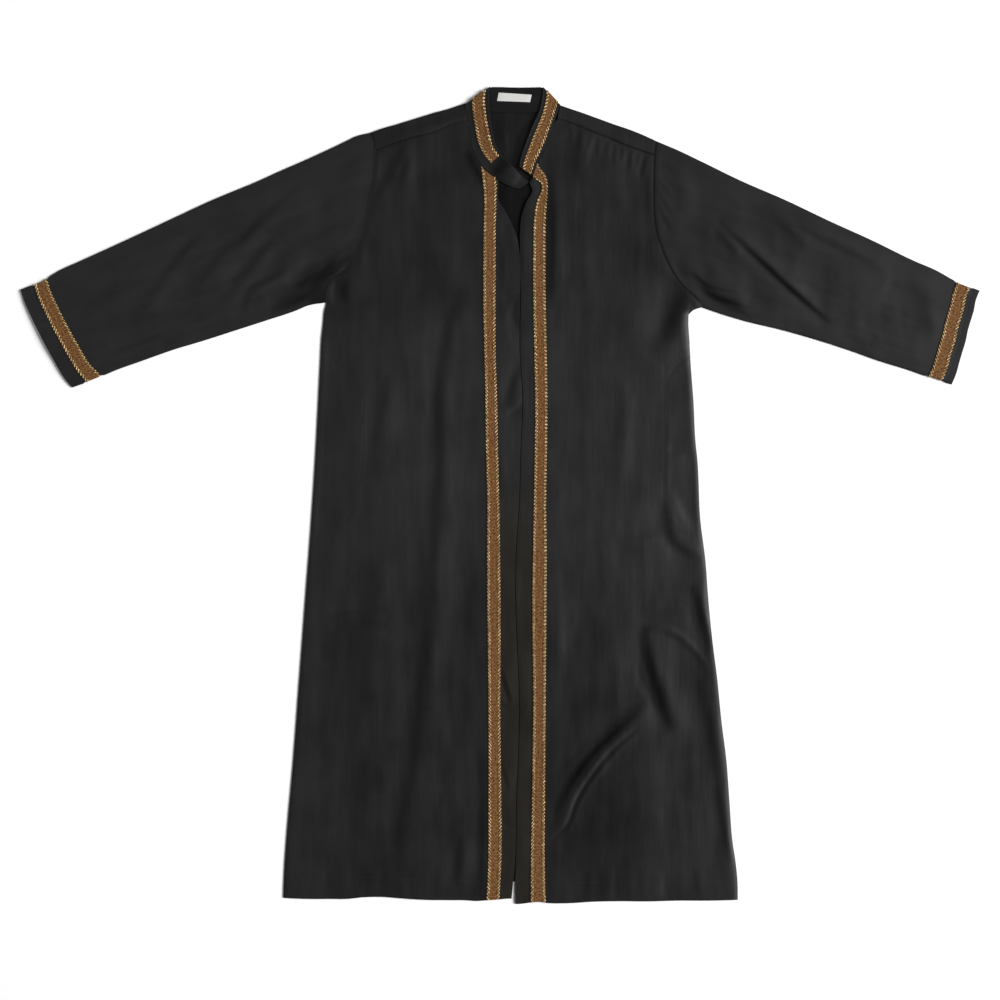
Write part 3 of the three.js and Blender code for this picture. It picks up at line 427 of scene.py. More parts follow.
def beadTree(name, material):
    # one rounded bead at each point, turned along the run
    tree = bpy.data.node_groups.new(name, "GeometryNodeTree")
    face = tree.interface
    face.new_socket("Geometry", in_out="INPUT", socket_type="NodeSocketGeometry")
    for label in ("Length", "Width", "Height"):
        face.new_socket(label, in_out="INPUT", socket_type="NodeSocketFloat")
    face.new_socket("Geometry", in_out="OUTPUT", socket_type="NodeSocketGeometry")
    given = addNode(tree, "NodeGroupInput").outputs
    run, up = (addNode(tree, "GeometryNodeInputNamedAttribute", {"data_type": "FLOAT_VECTOR"}, {"Name": key})
               for key in ("run", "up"))
    upright = addNode(tree, "FunctionNodeAlignRotationToVector", {"axis": "Z"}, {"Vector": up})
    turned = addNode(tree, "FunctionNodeAlignRotationToVector", {"axis": "X", "pivot_axis": "Z"}, {
        "Rotation": upright, "Vector": run,
    })
    bead = addNode(tree, "GeometryNodeMeshUVSphere", inputs={"Segments": 8, "Rings": 5, "Radius": 0.5})
    size = addNode(tree, "ShaderNodeCombineXYZ", inputs={
        "X": given["Length"], "Y": given["Width"], "Z": given["Height"],
    })
    laid = addNode(tree, "GeometryNodeInstanceOnPoints", inputs={
        "Points": given["Geometry"], "Instance": bead, "Rotation": turned, "Scale": size,
    })
    real = addNode(tree, "GeometryNodeRealizeInstances", inputs={"Geometry": laid})
    rounded = addNode(tree, "GeometryNodeSetShadeSmooth", inputs={"Geometry": real})
    done = addNode(tree, "GeometryNodeSetMaterial", inputs={"Geometry": rounded, "Material": material})
    addNode(tree, "NodeGroupOutput", inputs={"Geometry": done})
    return tree


def sampled(values, t, s):
    return np.stack([np.interp(s, t, values[:, k]) for k in range(3)], axis=1)


def layBeads(name, runs, tree, pitch, sizes, slot):
    # runs: lists of (points, normals, start, lean); beads every pitch along each run
    places, alongs, ups = [], [], []
    for points, normals, start, lean in runs:
        t = lengthAlong(points)
        count = max(int(round(t[-1] / pitch)), 1)
        s = (np.arange(count) + 0.2 + start) * t[-1] / count
        behind, before = np.maximum(s - 0.5, 0), np.minimum(s + 0.5, t[-1])
        ahead = unit(sampled(points, t, before) - sampled(points, t, behind))
        normal = sampled(normals, t, s)
        places.append(sampled(points, t, s))
        alongs.append(ahead + lean * 0.8 * np.cross(normal, ahead))
        ups.append(normal)
    spots, alongs, ups = (np.concatenate(v) for v in (places, alongs, ups))
    mesh = bpy.data.meshes.new(name)
    mesh.vertices.add(len(spots))
    mesh.vertices.foreach_set("co", (spots * mm).ravel())
    for key, field in (("run", alongs), ("up", ups)):
        item = mesh.attributes.new(key, "FLOAT_VECTOR", "POINT")
        item.data.foreach_set("vector", field.astype(np.float32).ravel())
    thing = newThing(name, mesh)
    step = thing.modifiers.new("beads", "NODES")
    step.node_group = tree
    for socket in tree.interface.items_tree:
        if socket.in_out == "INPUT" and socket.name in sizes:
            step[socket.identifier] = sizes[socket.name] * mm
    solid = bpy.data.meshes.new_from_object(thing.evaluated_get(bpy.context.evaluated_depsgraph_get()))
    thing.modifiers.clear()
    thing.data = solid
    print(name, len(spots), "beads")
    return place(thing, slot)


braidTree = beadTree("twistedCord", goldThread)
stitchTree = beadTree("stitches", sewingThread)

wall = {"cloth": 0.55, "layer": 1.2, "gap": 0.3, "loft": 2.2, "armhole": 1.6, "sleeve": 1.5, "least": 1.4}
lowestTop = 2 * wall["layer"] + wall["gap"]

rightFront = {
    "armhole": [(-205.6, 580), (-200, 565.6), (-199.2, 551.2), (-200, 533.6), (-202.4, 508),
        (-207.2, 480.8), (-211.2, 455.2), (-217.6, 426.4), (-226.4, 399.2), (-235.2, 378.4),
        (-248.8, 359.2), (-268, 344.8), (-276, 327.2), (-277.6, 308)],
    "side": [(-281.4, 292), (-282.4, 279.2), (-285.6, 247.2), (-287.2, 215.2), (-290.4, 151.2),
        (-293.6, 87.2), (-301.6, -40.8), (-311.2, -168.8), (-320.8, -296.8), (-330.4, -424.8),
        (-341.6, -552.8), (-344.8, -600.8), (-346.4, -645.6)],
    "fold": [(-205.6, 580), (-188, 586.4), (-165.6, 592.8), (-144.8, 599.2), (-124, 605.6),
        (-103.2, 612), (-79.2, 618.4), (-56.8, 626.4)],
    "seam": [(-199.2, 551.2), (-146.4, 569.6), (-96.8, 583.2), (-84, 589.6), (-51.2, 599.2)],
    "neck": [(-48, 584.8), (-44.3, 561.6), (-38.4, 539.2), (-28, 523.2), (-15.2, 512), (0, 502.4),
        (12.8, 495.2)],
    "ribbonOuter": [(-40.8, 624.8), (-34.4, 567.2), (-30.4, 532), (-24.8, 471.2), (-25.4, 439.2),
        (-26.1, 391.2), (-26.4, 311.2), (-24.8, 231.2), (-23.2, 151.2), (-22.1, 71.2), (-20, -8.8),
        (-20.3, -88.8), (-20, -168.8), (-19, -248.8), (-18.4, -328.8), (-17.9, -408.8),
        (-18.2, -488.8), (-18.6, -584.8), (-19.7, -618.4), (-21.3, -648.8)],
    "ribbonInner": [(-21.6, 624.8), (-20, 551.2), (-16.8, 522.4), (-8.3, 508), (-6.4, 471.2),
        (-6.9, 439.2), (-7.2, 391.2), (-7.5, 311.2), (-7.2, 231.2), (-4.8, 151.2), (-3.4, 71.2),
        (-1.6, -8.8), (-0.2, -88.8), (0.5, -168.8), (0.8, -248.8), (0.2, -328.8), (0.8, -408.8),
        (1.8, -488.8), (1.8, -584.8), (0.3, -618.4), (-1.4, -648.8)],
    "edge": [(10.4, 624.8), (0.8, 535.2), (-0.8, 509.6), (-2.4, 490.4), (-2.1, 472.8),
        (8.8, 453.6), (19, 433.9), (27.4, 412.5), (30.9, 391.2), (32.2, 311.2), (31.7, 231.2),
        (36, 151.2), (33.1, 71.2), (30.9, -8.8), (25.8, -88.8), (24.8, -168.8), (27.8, -248.8),
        (30.9, -328.8), (29.4, -408.8), (26.1, -488.8), (24.2, -584.8), (21.3, -618.4),
        (18.6, -647.2)],
    "hem": [(-351.2, -644), (-309.6, -645.6), (-271.2, -645.6), (-244, -645.6), (-216.8, -642.9),
        (-191.2, -642.4), (-159.2, -644.6), (-114.4, -647.2), (-79.2, -647.5), (-53.6, -647.8),
        (-39.2, -648.8), (-15.2, -647.2), (20, -644.8), (26.4, -644.8)],
    "sleeveTop": [(-205.6, 580), (-231.2, 573.6), (-244, 567.2), (-277.6, 551.2), (-312.8, 535.2),
        (-349.6, 519.2), (-384.8, 503.2), (-461.6, 471.2), (-530.4, 439.2), (-599.2, 407.2),
        (-669.6, 375.2), (-704.8, 359.2), (-732, 343.2), (-766.6, 328.8)],
    "sleeveUnder": [(-277.6, 308), (-306.4, 303.2), (-325.6, 295.2), (-373.6, 279.2),
        (-423.2, 263.2), (-472.8, 247.2), (-525.6, 231.2), (-570.4, 215.2), (-615.2, 199.2),
        (-652, 183.2), (-684, 172)],
    "cuff": [(-766.6, 328.8), (-760.8, 311.2), (-746.4, 279.2), (-730.4, 247.2), (-712.8, 215.2),
        (-693.6, 183.2), (-684, 172)],
    "pockets": [
        [(-279.2, 232.8), (-263.2, 216.8), (-245.6, 200.8)],
        [(-220, 175.2), (-220.8, 103.2), (-223.2, 48.8), (-226.4, 10.4), (-229.6, -8.8),
            (-239.2, -37.6), (-258.4, -56.8), (-293.6, -69.6)],
    ],
}
leftFront = {
    "armhole": [(249.6, 566.4), (248.3, 556), (247.2, 544), (246.6, 528.8), (245.9, 503.2),
        (245.6, 474.4), (246.9, 445.6), (251.2, 418.4), (258.4, 396), (268, 372), (280.8, 349.6),
        (296.8, 330.4), (312.8, 316), (324, 300)],
    "side": [(311.2, 296.8), (302.4, 290.4), (301.6, 279.2), (303.2, 247.2), (304.8, 215.2),
        (309.6, 151.2), (312.8, 87.2), (316, 55.2), (320.8, -40.8), (328.8, -104.8),
        (333.6, -168.8), (340, -232.8), (348, -296.8), (354.4, -360.8), (362.4, -424.8),
        (367.2, -488.8), (372, -552.8), (376.8, -584.8), (380, -616.8), (380.6, -653.6)],
    "fold": [(249.6, 566.4), (234.4, 573.6), (202.4, 586.4), (183.2, 592.8), (165.6, 599.2),
        (148, 605.6), (130.4, 612), (108, 619.5), (96.8, 623.5)],
    "seam": [(247.2, 544), (205.6, 558.2), (178.4, 569), (141.6, 583.8), (116, 593.9), (92, 600.8)],
    "neck": [(88, 596), (82.4, 581.6), (75.2, 562.4), (66.4, 543.2), (58.4, 527.2), (52.8, 509.6),
        (44, 493.6)],
    "ribbonOuter": [(79.2, 624.8), (58.4, 535.2), (62.4, 524), (71.7, 512.3), (75.4, 498.4),
        (75.7, 484), (74.4, 466.4), (72.8, 440.8), (72.2, 391.2), (72.8, 311.2), (74.4, 231.2),
        (75.4, 151.2), (74.9, 71.2), (73.4, -8.8), (74.4, -88.8), (73.9, -168.8), (73.4, -248.8),
        (72.8, -328.8), (72.2, -408.8), (71.8, -488.8), (71.2, -568.8), (71.8, -618.4),
        (73.1, -656.8)],
    "ribbonInner": [(60, 624.8), (45.6, 535.2), (48.8, 516), (54.4, 507), (65.8, 499.4),
        (67.4, 487.2), (60.6, 472.8), (56.8, 456.8), (54.9, 440.8), (53.4, 391.2), (53.6, 311.2),
        (54.9, 231.2), (56.5, 151.2), (55.8, 71.2), (54.4, -8.8), (53, -88.8), (52, -168.8),
        (52.5, -248.8), (53.6, -328.8), (52.5, -408.8), (51.4, -488.8), (49.8, -568.8),
        (49.6, -618.4), (49.6, -656.8)],
    "edge": [(42.4, 624.8), (39.2, 535.2), (41.6, 516), (44.8, 503.2), (52, 487.2), (42.7, 468.5),
        (35.5, 448.8), (32.3, 423.2), (32.3, 391.2), (33.4, 311.2), (32.6, 231.2), (37.1, 151.2),
        (33.9, 71.2), (31.8, -8.8), (26.7, -88.8), (25.8, -168.8), (28.8, -248.8), (31.8, -328.8),
        (30.4, -408.8), (27.2, -488.8), (26.2, -568.8), (24.6, -618.4), (24.6, -655.2)],
    "hem": [(20, -653.6), (32.8, -653.6), (45.6, -652), (64.8, -650.4), (74.4, -652),
        (96.8, -652.6), (117.6, -652), (144.8, -650.1), (192.8, -649.1), (240.8, -649.4),
        (288.8, -648.2), (336.8, -648.2), (384.8, -647.2)],
    "sleeveTop": [(249.6, 566.4), (285.6, 551.2), (319.2, 535.2), (384.8, 503.2), (458.4, 471.2),
        (525.6, 439.2), (596, 407.2), (661.6, 375.2), (698.4, 359.2), (727.2, 343.2),
        (767.2, 327.2)],
    "sleeveUnder": [(324, 300), (346.4, 292), (388, 279.2), (453.6, 263.2), (509.6, 247.2),
        (559.2, 231.2), (604, 215.2), (655.2, 199.2), (687.2, 188), (722.4, 176.8)],
    "cuff": [(767.2, 327.2), (760.8, 311.2), (757.6, 295.2), (752.8, 279.2), (748, 263.2),
        (744.8, 247.2), (740, 231.2), (734.4, 212), (729.6, 194.4), (722.4, 176.8)],
    "pockets": [
        [(304.8, 221.6), (285.6, 205.6), (269.6, 183.2)],
        [(266.4, 159.2), (266.4, 71.2), (266.4, -8.8), (272.8, -40.8), (295.2, -60), (319.2, -66.4)],
    ],
}
neckLine = [(-56.3, 624.3), (-45.6, 620), (-24.8, 615.2), (0.8, 612), (26.4, 611.2), (52, 612),
    (72.8, 615.2), (87.2, 619.2), (96.8, 623.5)]
labelCorners = [(-1.9, 643.2), (50.9, 639.8), (48.2, 628), (-4.5, 629.9)]

# collar stations: sewn line x y, free edge x y, ribbon's two shares of the width, then the lines' heights
collarRight = [
    (30.4, 489.6, 48, 500.8, 0.2, 0.84, 3.6, 3.5),
    (21.6, 492, 41.6, 504.8, 0.2, 0.84, 3.7, 3.8),
    (12.8, 495.2, 33.6, 511.2, 0.2, 0.84, 3.9, 4.8),
    (0, 502.4, 21.6, 524, 0.26, 0.85, 3.9, 5.8),
    (-15.2, 512, 7.2, 537.6, 0.376, 0.868, 3.8, 6.4),
    (-28, 523.2, 0.8, 547.2, 0.406, 0.866, 4.2, 6.5),
    (-38.4, 539.2, -5.6, 557.6, 0.37, 0.86, 4.5, 7.3),
    (-44.3, 561.6, -9.9, 573.6, 0.28, 0.84, 4.6, 7.7),
    (-48, 584.8, -13.6, 592.8, 0.26, 0.83, 4.7, 7.8),
    (-52, 604, -16.5, 615.2, 0.27, 0.82, 4.8, 7.4),
    (-55.2, 616.8, -17.1, 634.4, 0.29, 0.81, 4.9, 6.2),
    (-56.3, 624.3, -16.2, 652.6, 0.29, 0.8, 5.2, 5.2),
]
collarBack = [
    (-45.6, 620, -9.6, 652.3, 0.28, 0.8),
    (-24.8, 615.2, 1.6, 652.2, 0.26, 0.8),
    (0.8, 612, 12.8, 651.8, 0.24, 0.79),
    (26.4, 611.2, 26.4, 651.5, 0.22, 0.79),
    (52, 612, 40.8, 651.5, 0.2, 0.79),
    (72.8, 615.2, 54.4, 651.7, 0.18, 0.78),
    (87.2, 620, 63.7, 652, 0.17, 0.78),
]
collarLeft = [
    (96.8, 623.5, 69.6, 652.2, 0.16, 0.78, 5.2, 5.2),
    (92.8, 612.8, 68, 636.8, 0.16, 0.78, 5.2, 5.8),
    (88, 599.2, 64, 616.8, 0.16, 0.78, 5.4, 6.5),
    (82.4, 581.6, 55.2, 596, 0.16, 0.77, 5.8, 7.1),
    (75.2, 562.4, 48, 579.2, 0.15, 0.76, 6.2, 7.5),
    (66.4, 543.2, 40, 557.6, 0.15, 0.76, 6.6, 7.6),
    (58.4, 527.2, 33.6, 538.4, 0.15, 0.76, 6.8, 7.5),
    (52.8, 509.6, 30.9, 524.8, 0.15, 0.76, 6.9, 7.2),
]

# folds: the run, its half width, and the step up across it
rightFrontFolds = [
    ([(-60, 335.2), (-84, 255.2), (-95.2, 175.2), (-96.8, 71.2), (-101.6, -8.8), (-111.2, -152.8)], 8, 3.4),
    ([(-108, -120.8), (-120.8, -264.8), (-132, -372), (-146.4, -472.8), (-160.8, -568.8)], 11.2, 3.4),
    ([(-80.8, 7.2), (-88.8, -168.8), (-106.4, -384.8)], 12.8, -1),
    ([(-178.4, 199.2), (-188, 143.2), (-204, 71.2)], 9.6, 2.5),
    ([(-156, 175.2), (-165.6, 103.2), (-173.6, 39.2)], 12.8, -1),
    ([(-61.6, -544.8), (-64.8, -581.6), (-69.6, -624.8)], 6.4, 2.2),
    ([(-29.6, -400.8), (-28, -520.8), (-31.2, -645.6)], 6.4, 2.6),
    ([(-271.2, -189.6), (-226.4, -188), (-181.6, -189.6)], 4.8, 2.6),
    ([(-271.2, -213.6), (-226.4, -212), (-181.6, -213.6)], 4.8, 2.2),
    ([(-141.6, 576.8), (-167.2, 535.2), (-180, 493.6)], 8, 2.2),
    ([(-144.8, 543.2), (-152.8, 519.2), (-160.8, 493.6)], 6.4, 1.8),
    ([(-120.8, 564), (-133.6, 519.2), (-140, 455.2)], 11.2, -0.9),
    ([(-53.6, 557.6), (-42.4, 528.8), (-28, 493.6)], 8, 2.9),
    ([(-264.8, 372), (-256.8, 340), (-245.6, 304.8)], 9.6, 4.6),
    ([(-152.8, 551.2), (-172, 519.2), (-197.6, 476)], 4.8, 1.3),
    ([(-82.4, 596), (-69.6, 551.2), (-56.8, 490.4)], 16, 3),
    ([(-239.2, 311.2), (-247.2, 119.2), (-255.2, -72.8)], 19.2, 1),
    ([(-269.6, -232.8), (-284, -392.8), (-292, -584.8)], 14.4, 1.1),
    ([(-204, -104.8), (-220, -328.8), (-232.8, -616.8)], 14.4, 1.2),
    ([(-53.6, -40.8), (-48.8, -232.8), (-53.6, -424.8)], 11.2, 1),
    ([(-119.2, 447.2), (-108, 372), (-82.4, 301.6)], 12.8, 1),
    ([(-167.2, -8.8), (-172, -168.8), (-178.4, -328.8)], 12.8, -0.9),
    ([(-95.2, -584.8), (-98.4, -616.8), (-100, -647.2)], 4.8, 0.8),
    ([(-140, -592.8), (-141.6, -623.2), (-143.2, -645.6)], 4.8, 0.8),
    ([(-194.4, -594.4), (-196, -623.2), (-196, -644)], 4.8, -0.7),
    ([(-271.2, -597.6), (-272.8, -623.2), (-274.4, -645.6)], 4.8, 0.7),
    ([(-284, 263.2), (-255.2, 228), (-220, 154.4)], 8, 0.9),
    ([(-2.4, 325.6), (15.2, 320.8), (34.4, 325.6)], 2.9, -1.3),
    ([(4, 391.2), (3.2, 359.2), (4.8, 327.2)], 3.5, 1.2),
    ([(16.8, 311.2), (13.6, 279.2), (16.8, 239.2)], 4.2, -0.9),
    ([(29.6, 314.4), (25.6, 292), (31.2, 263.2)], 3.5, 1.5),
    ([(36, 212), (21.6, 176.8), (13.6, 141.6)], 5.1, 2.4),
    ([(37.6, 157.6), (23.2, 138.4), (0.8, 125.6)], 3.5, -1.3),
    ([(2.4, -276), (8.8, -303.2), (18.4, -333.6)], 2.6, 1.8),
    ([(0.8, -332), (10.4, -336.8), (21.6, -338.4)], 2.2, 1.1),
    ([(2.4, -428), (8.8, -448.8), (15.2, -472.8)], 2.6, 1),
    ([(0.8, -527.2), (12, -532), (23.2, -532)], 2.4, 1.3),
    ([(-0.8, 71.2), (0.8, 31.2), (4, -8.8)], 3.2, 0.8),
]
leftFrontFolds = [
    ([(114.4, 588), (113.6, 576.8), (112, 562.4)], 2.9, 0.6),
    ([(128.8, 583.2), (127.2, 568.8), (126.4, 551.2)], 2.9, 0.8),
    ([(144.8, 576.8), (143.2, 565.6), (141.6, 552.8)], 2.6, 0.6),
    ([(157.6, 572), (156, 557.6), (154.4, 538.4)], 2.9, 0.8),
    ([(172, 565.6), (171.2, 556), (169.6, 543.2)], 2.6, 0.6),
    ([(184.8, 560.8), (183.2, 546.4), (182.4, 527.2)], 2.9, 0.8),
    ([(196, 556), (195.2, 546.4), (193.6, 533.6)], 2.6, 0.6),
    ([(208.8, 551.2), (207.2, 538.4), (206.4, 520.8)], 2.9, 0.8),
    ([(221.6, 546.4), (220, 536.8), (218.4, 524)], 2.6, 0.7),
    ([(232.8, 541.6), (229.6, 525.6), (226.4, 506.4)], 3.8, 1.4),
    ([(80.8, 538.4), (82.4, 431.2), (79.2, 295.2)], 8, 3.2),
    ([(96.8, 503.2), (98.4, 407.2), (100, 311.2)], 9.6, -0.9),
    ([(242.4, 551.2), (239.2, 487.2), (244, 429.6)], 8, 1.5),
    ([(304.8, 336.8), (288.8, 306.4), (264.8, 256.8), (244, 218.4)], 12.8, 4.6),
    ([(279.2, 239.2), (264.8, 196), (256.8, 144.8)], 11.2, -1.3),
    ([(212, 196), (210.4, 103.2), (205.6, 10.4)], 11.2, -1.4),
    ([(189.6, 183.2), (188, 103.2), (180, 7.2)], 11.2, 1.4),
    ([(263.2, -4), (268, -37.6), (279.2, -76), (298.4, -90.4), (320.8, -101.6)], 7.2, 3.8),
    ([(277.6, 10.4), (292, -28), (311.2, -60)], 6.4, -1.5),
    ([(188, -63.2), (224.8, -66.4), (261.6, -58.4)], 6.4, 1.4),
    ([(308, -141.6), (322.4, -188), (340, -252)], 7.2, 3.2),
    ([(226.4, -223.2), (244, -210.4), (272.8, -212), (304.8, -234.4), (340, -280.8)], 4.2, -1.1),
    ([(229.6, -232.8), (247.2, -220), (272.8, -221.6), (301.6, -242.4), (330.4, -277.6)], 4.8, 1.1),
    ([(232.8, -204), (236, -256.8), (250.4, -309.6), (276, -380)], 8.8, 5.6),
    ([(320.8, -152.8), (319.2, -188), (325.6, -226.4)], 6.4, 2),
    ([(236, -328.8), (168.8, -392.8), (120.8, -447.2), (95.2, -493.6), (88.8, -536.8)], 9.6, 6.4),
    ([(218.4, -370.4), (183.2, -399.2), (143.2, -447.2), (119.2, -487.2), (103.2, -527.2),
        (82.4, -546.4)], 2.9, -1.7),
    ([(223.2, -373.6), (188, -404), (148, -452), (124, -492), (108, -532), (87.2, -551.2)], 2.1, 1.8),
    ([(120.8, -312.8), (141.6, -472.8), (160.8, -656.8)], 64, 4),
    ([(319.2, -290.4), (333.6, -360.8), (346.4, -460)], 9.6, 2.8),
    ([(346.4, -456.8), (356, -512.8), (367.2, -588)], 8, 2.8),
    ([(296.8, -373.6), (298.4, -424.8), (301.6, -488.8)], 11.2, 1),
    ([(224.8, -592.8), (224.8, -620), (226.4, -648.8)], 4.8, 1),
    ([(260, -600.8), (260, -624.8), (261.6, -648.8)], 4.8, -0.8),
    ([(181.6, -588), (180, -616.8), (178.4, -648.8)], 5.6, -1),
    ([(141.6, -597.6), (140, -623.2), (138.4, -648.8)], 4.8, 0.9),
    ([(312.8, -597.6), (316, -623.2), (317.6, -648.8)], 4.8, 0.8),
    ([(127.2, 586.4), (120.8, 554.4), (117.6, 509.6)], 6.4, 1.1),
    ([(148, 576.8), (143.2, 551.2), (140, 519.2)], 4.8, -0.8),
    ([(170.4, 568.8), (165.6, 541.6), (162.4, 503.2)], 6.4, 0.9),
    ([(200.8, 557.6), (196, 528.8), (194.4, 493.6)], 6.4, -0.7),
    ([(125.6, 311.2), (132, 151.2), (122.4, -40.8)], 14.4, 1),
    ([(160.8, -40.8), (151.2, -200.8), (119.2, -328.8)], 14.4, 1),
    ([(96.8, -104.8), (100, -248.8), (96.8, -360.8)], 9.6, -0.9),
    ([(304.8, 308), (316, 301.6), (325.6, 296.8)], 4.2, 1.5),
    ([(295.2, 68), (282.4, 66.4), (268, 68)], 3.5, 1),
    ([(44, -343.2), (37.6, -343.2), (31.2, -343.2)], 2.2, 0.7),
    ([(48.8, -546.4), (37.6, -546.4), (29.6, -546.4)], 2.2, 0.7),
    ([(50.4, -613.6), (37.6, -616.8), (28, -621.6)], 2.2, 0.8),
    ([(39.2, 471.2), (34.4, 415.2), (34.4, 351.2)], 4.2, 1),
]
rightSleeveFolds = [
    ([(-469.6, 426.4), (-506.4, 389.6), (-535.2, 351.2), (-589.6, 279.2)], 6.4, 2.6),
    ([(-444, 413.6), (-485.6, 372), (-543.2, 292)], 12.8, -1.1),
    ([(-312.8, 500), (-359.2, 460), (-384.8, 437.6), (-408.8, 413.6), (-440.8, 389.6), (-463.2, 362.4),
        (-501.6, 316)], 5.8, 3.2),
    ([(-296.8, 480.8), (-367.2, 420), (-444, 336.8)], 12.8, -1.1),
    ([(-356, 410.4), (-381.6, 388), (-407.2, 356), (-434.4, 320.8)], 6.7, 2.8),
    ([(-340, 362.4), (-376.8, 341.6), (-399.2, 325.6), (-410.4, 290.4)], 5.1, 3.2),
    ([(-250.4, 378.4), (-287.2, 351.2), (-320.8, 328.8), (-364, 298.4)], 11.2, 7.5),
    ([(-271.2, 372), (-300, 349.6), (-332, 327.2)], 8, 2.5),
    ([(-428, 280.8), (-463.2, 269.6), (-498.4, 260)], 5.6, 2.4),
    ([(-520.8, 261.6), (-575.2, 244), (-640.8, 213.6)], 6.4, 2.8),
    ([(-210.4, 474.4), (-236, 415.2), (-271.2, 368.8)], 9.6, -1.3),
    ([(-661.6, 301.6), (-679.2, 293.6), (-698.4, 285.6)], 5.6, -1.3),
    ([(-421.6, 264.8), (-380, 277.6), (-335.2, 293.6), (-300, 306.4)], 3.5, -1.2),
    ([(-604, 372), (-620, 327.2), (-632.8, 282.4)], 11.2, 1),
    ([(-236, 535.2), (-255.2, 493.6), (-284, 461.6)], 9.6, 1.1),
]
leftSleeveFolds = [
    ([(250.4, 538.4), (261.6, 528.8), (276, 517.6)], 2.9, 0.9),
    ([(250.4, 525.6), (263.2, 511.2), (279.2, 495.2)], 3.2, 1),
    ([(250.4, 508), (263.2, 490.4), (279.2, 469.6)], 3.2, 1),
    ([(250.4, 487.2), (263.2, 468), (276, 445.6)], 3.2, 0.9),
    ([(250.4, 464.8), (261.6, 445.6), (274.4, 423.2)], 3.2, 0.9),
    ([(349.6, 436), (388, 402.4), (456.8, 336.8), (527.2, 276)], 4.2, 3.6),
    ([(373.6, 442.4), (424.8, 391.2), (500, 324)], 11.2, -1.3),
    ([(343.2, 429.6), (359.2, 407.2), (380, 383.2)], 5.8, 2.2),
    ([(472.8, 432.8), (528.8, 404), (568.8, 383.2), (621.6, 352.8)], 6.4, 2.8),
    ([(429.6, 447.2), (458.4, 424.8), (488.8, 400.8)], 6.4, 2.6),
    ([(290.4, 354.4), (306.4, 352.8), (330.4, 335.2), (381.6, 324)], 4.2, 2),
    ([(320.8, 336.8), (349.6, 316), (391.2, 298.4)], 8, 4.2),
    ([(381.6, 320.8), (436, 303.2), (493.6, 292)], 6.4, -1.4),
    ([(260, 551.2), (279.2, 506.4), (288.8, 448.8)], 8, 1.4),
    ([(276, 544.8), (304.8, 500), (324, 448.8)], 9.6, -1),
    ([(320.8, 391.2), (340, 372), (375.2, 349.6)], 8, -1),
    ([(576.8, 311.2), (624.8, 298.4), (680.8, 292)], 11.2, 1),
    ([(648.8, 359.2), (676, 311.2), (682.4, 247.2)], 11.2, 0.9),
]
collarFolds = [
    ([(13.6, 538.4), (2.4, 522.4), (-12, 503.2)], 8, 2.8),
    ([(39.2, 519.2), (28, 504.8), (15.2, 490.4)], 5.6, -1.2),
    ([(-8.8, 599.2), (-16.8, 594.4), (-28, 589.6)], 8, 1),
    ([(60, 586.4), (68, 583.2), (77.6, 578.4)], 8, -1),
]
backFolds = [
    ([(5.6, 612), (16.8, 557.6), (32.8, 477.6)], 8, -3.6),
    ([(-5.6, 608.8), (0.8, 575.2), (10.4, 538.4)], 6.4, 2.2),
    ([(45.6, 599.2), (32.8, 567.2), (21.6, 516)], 6.4, 2.4),
    ([(32.8, 503.2), (20, 471.2), (16.8, 407.2)], 8, -2.4),
]
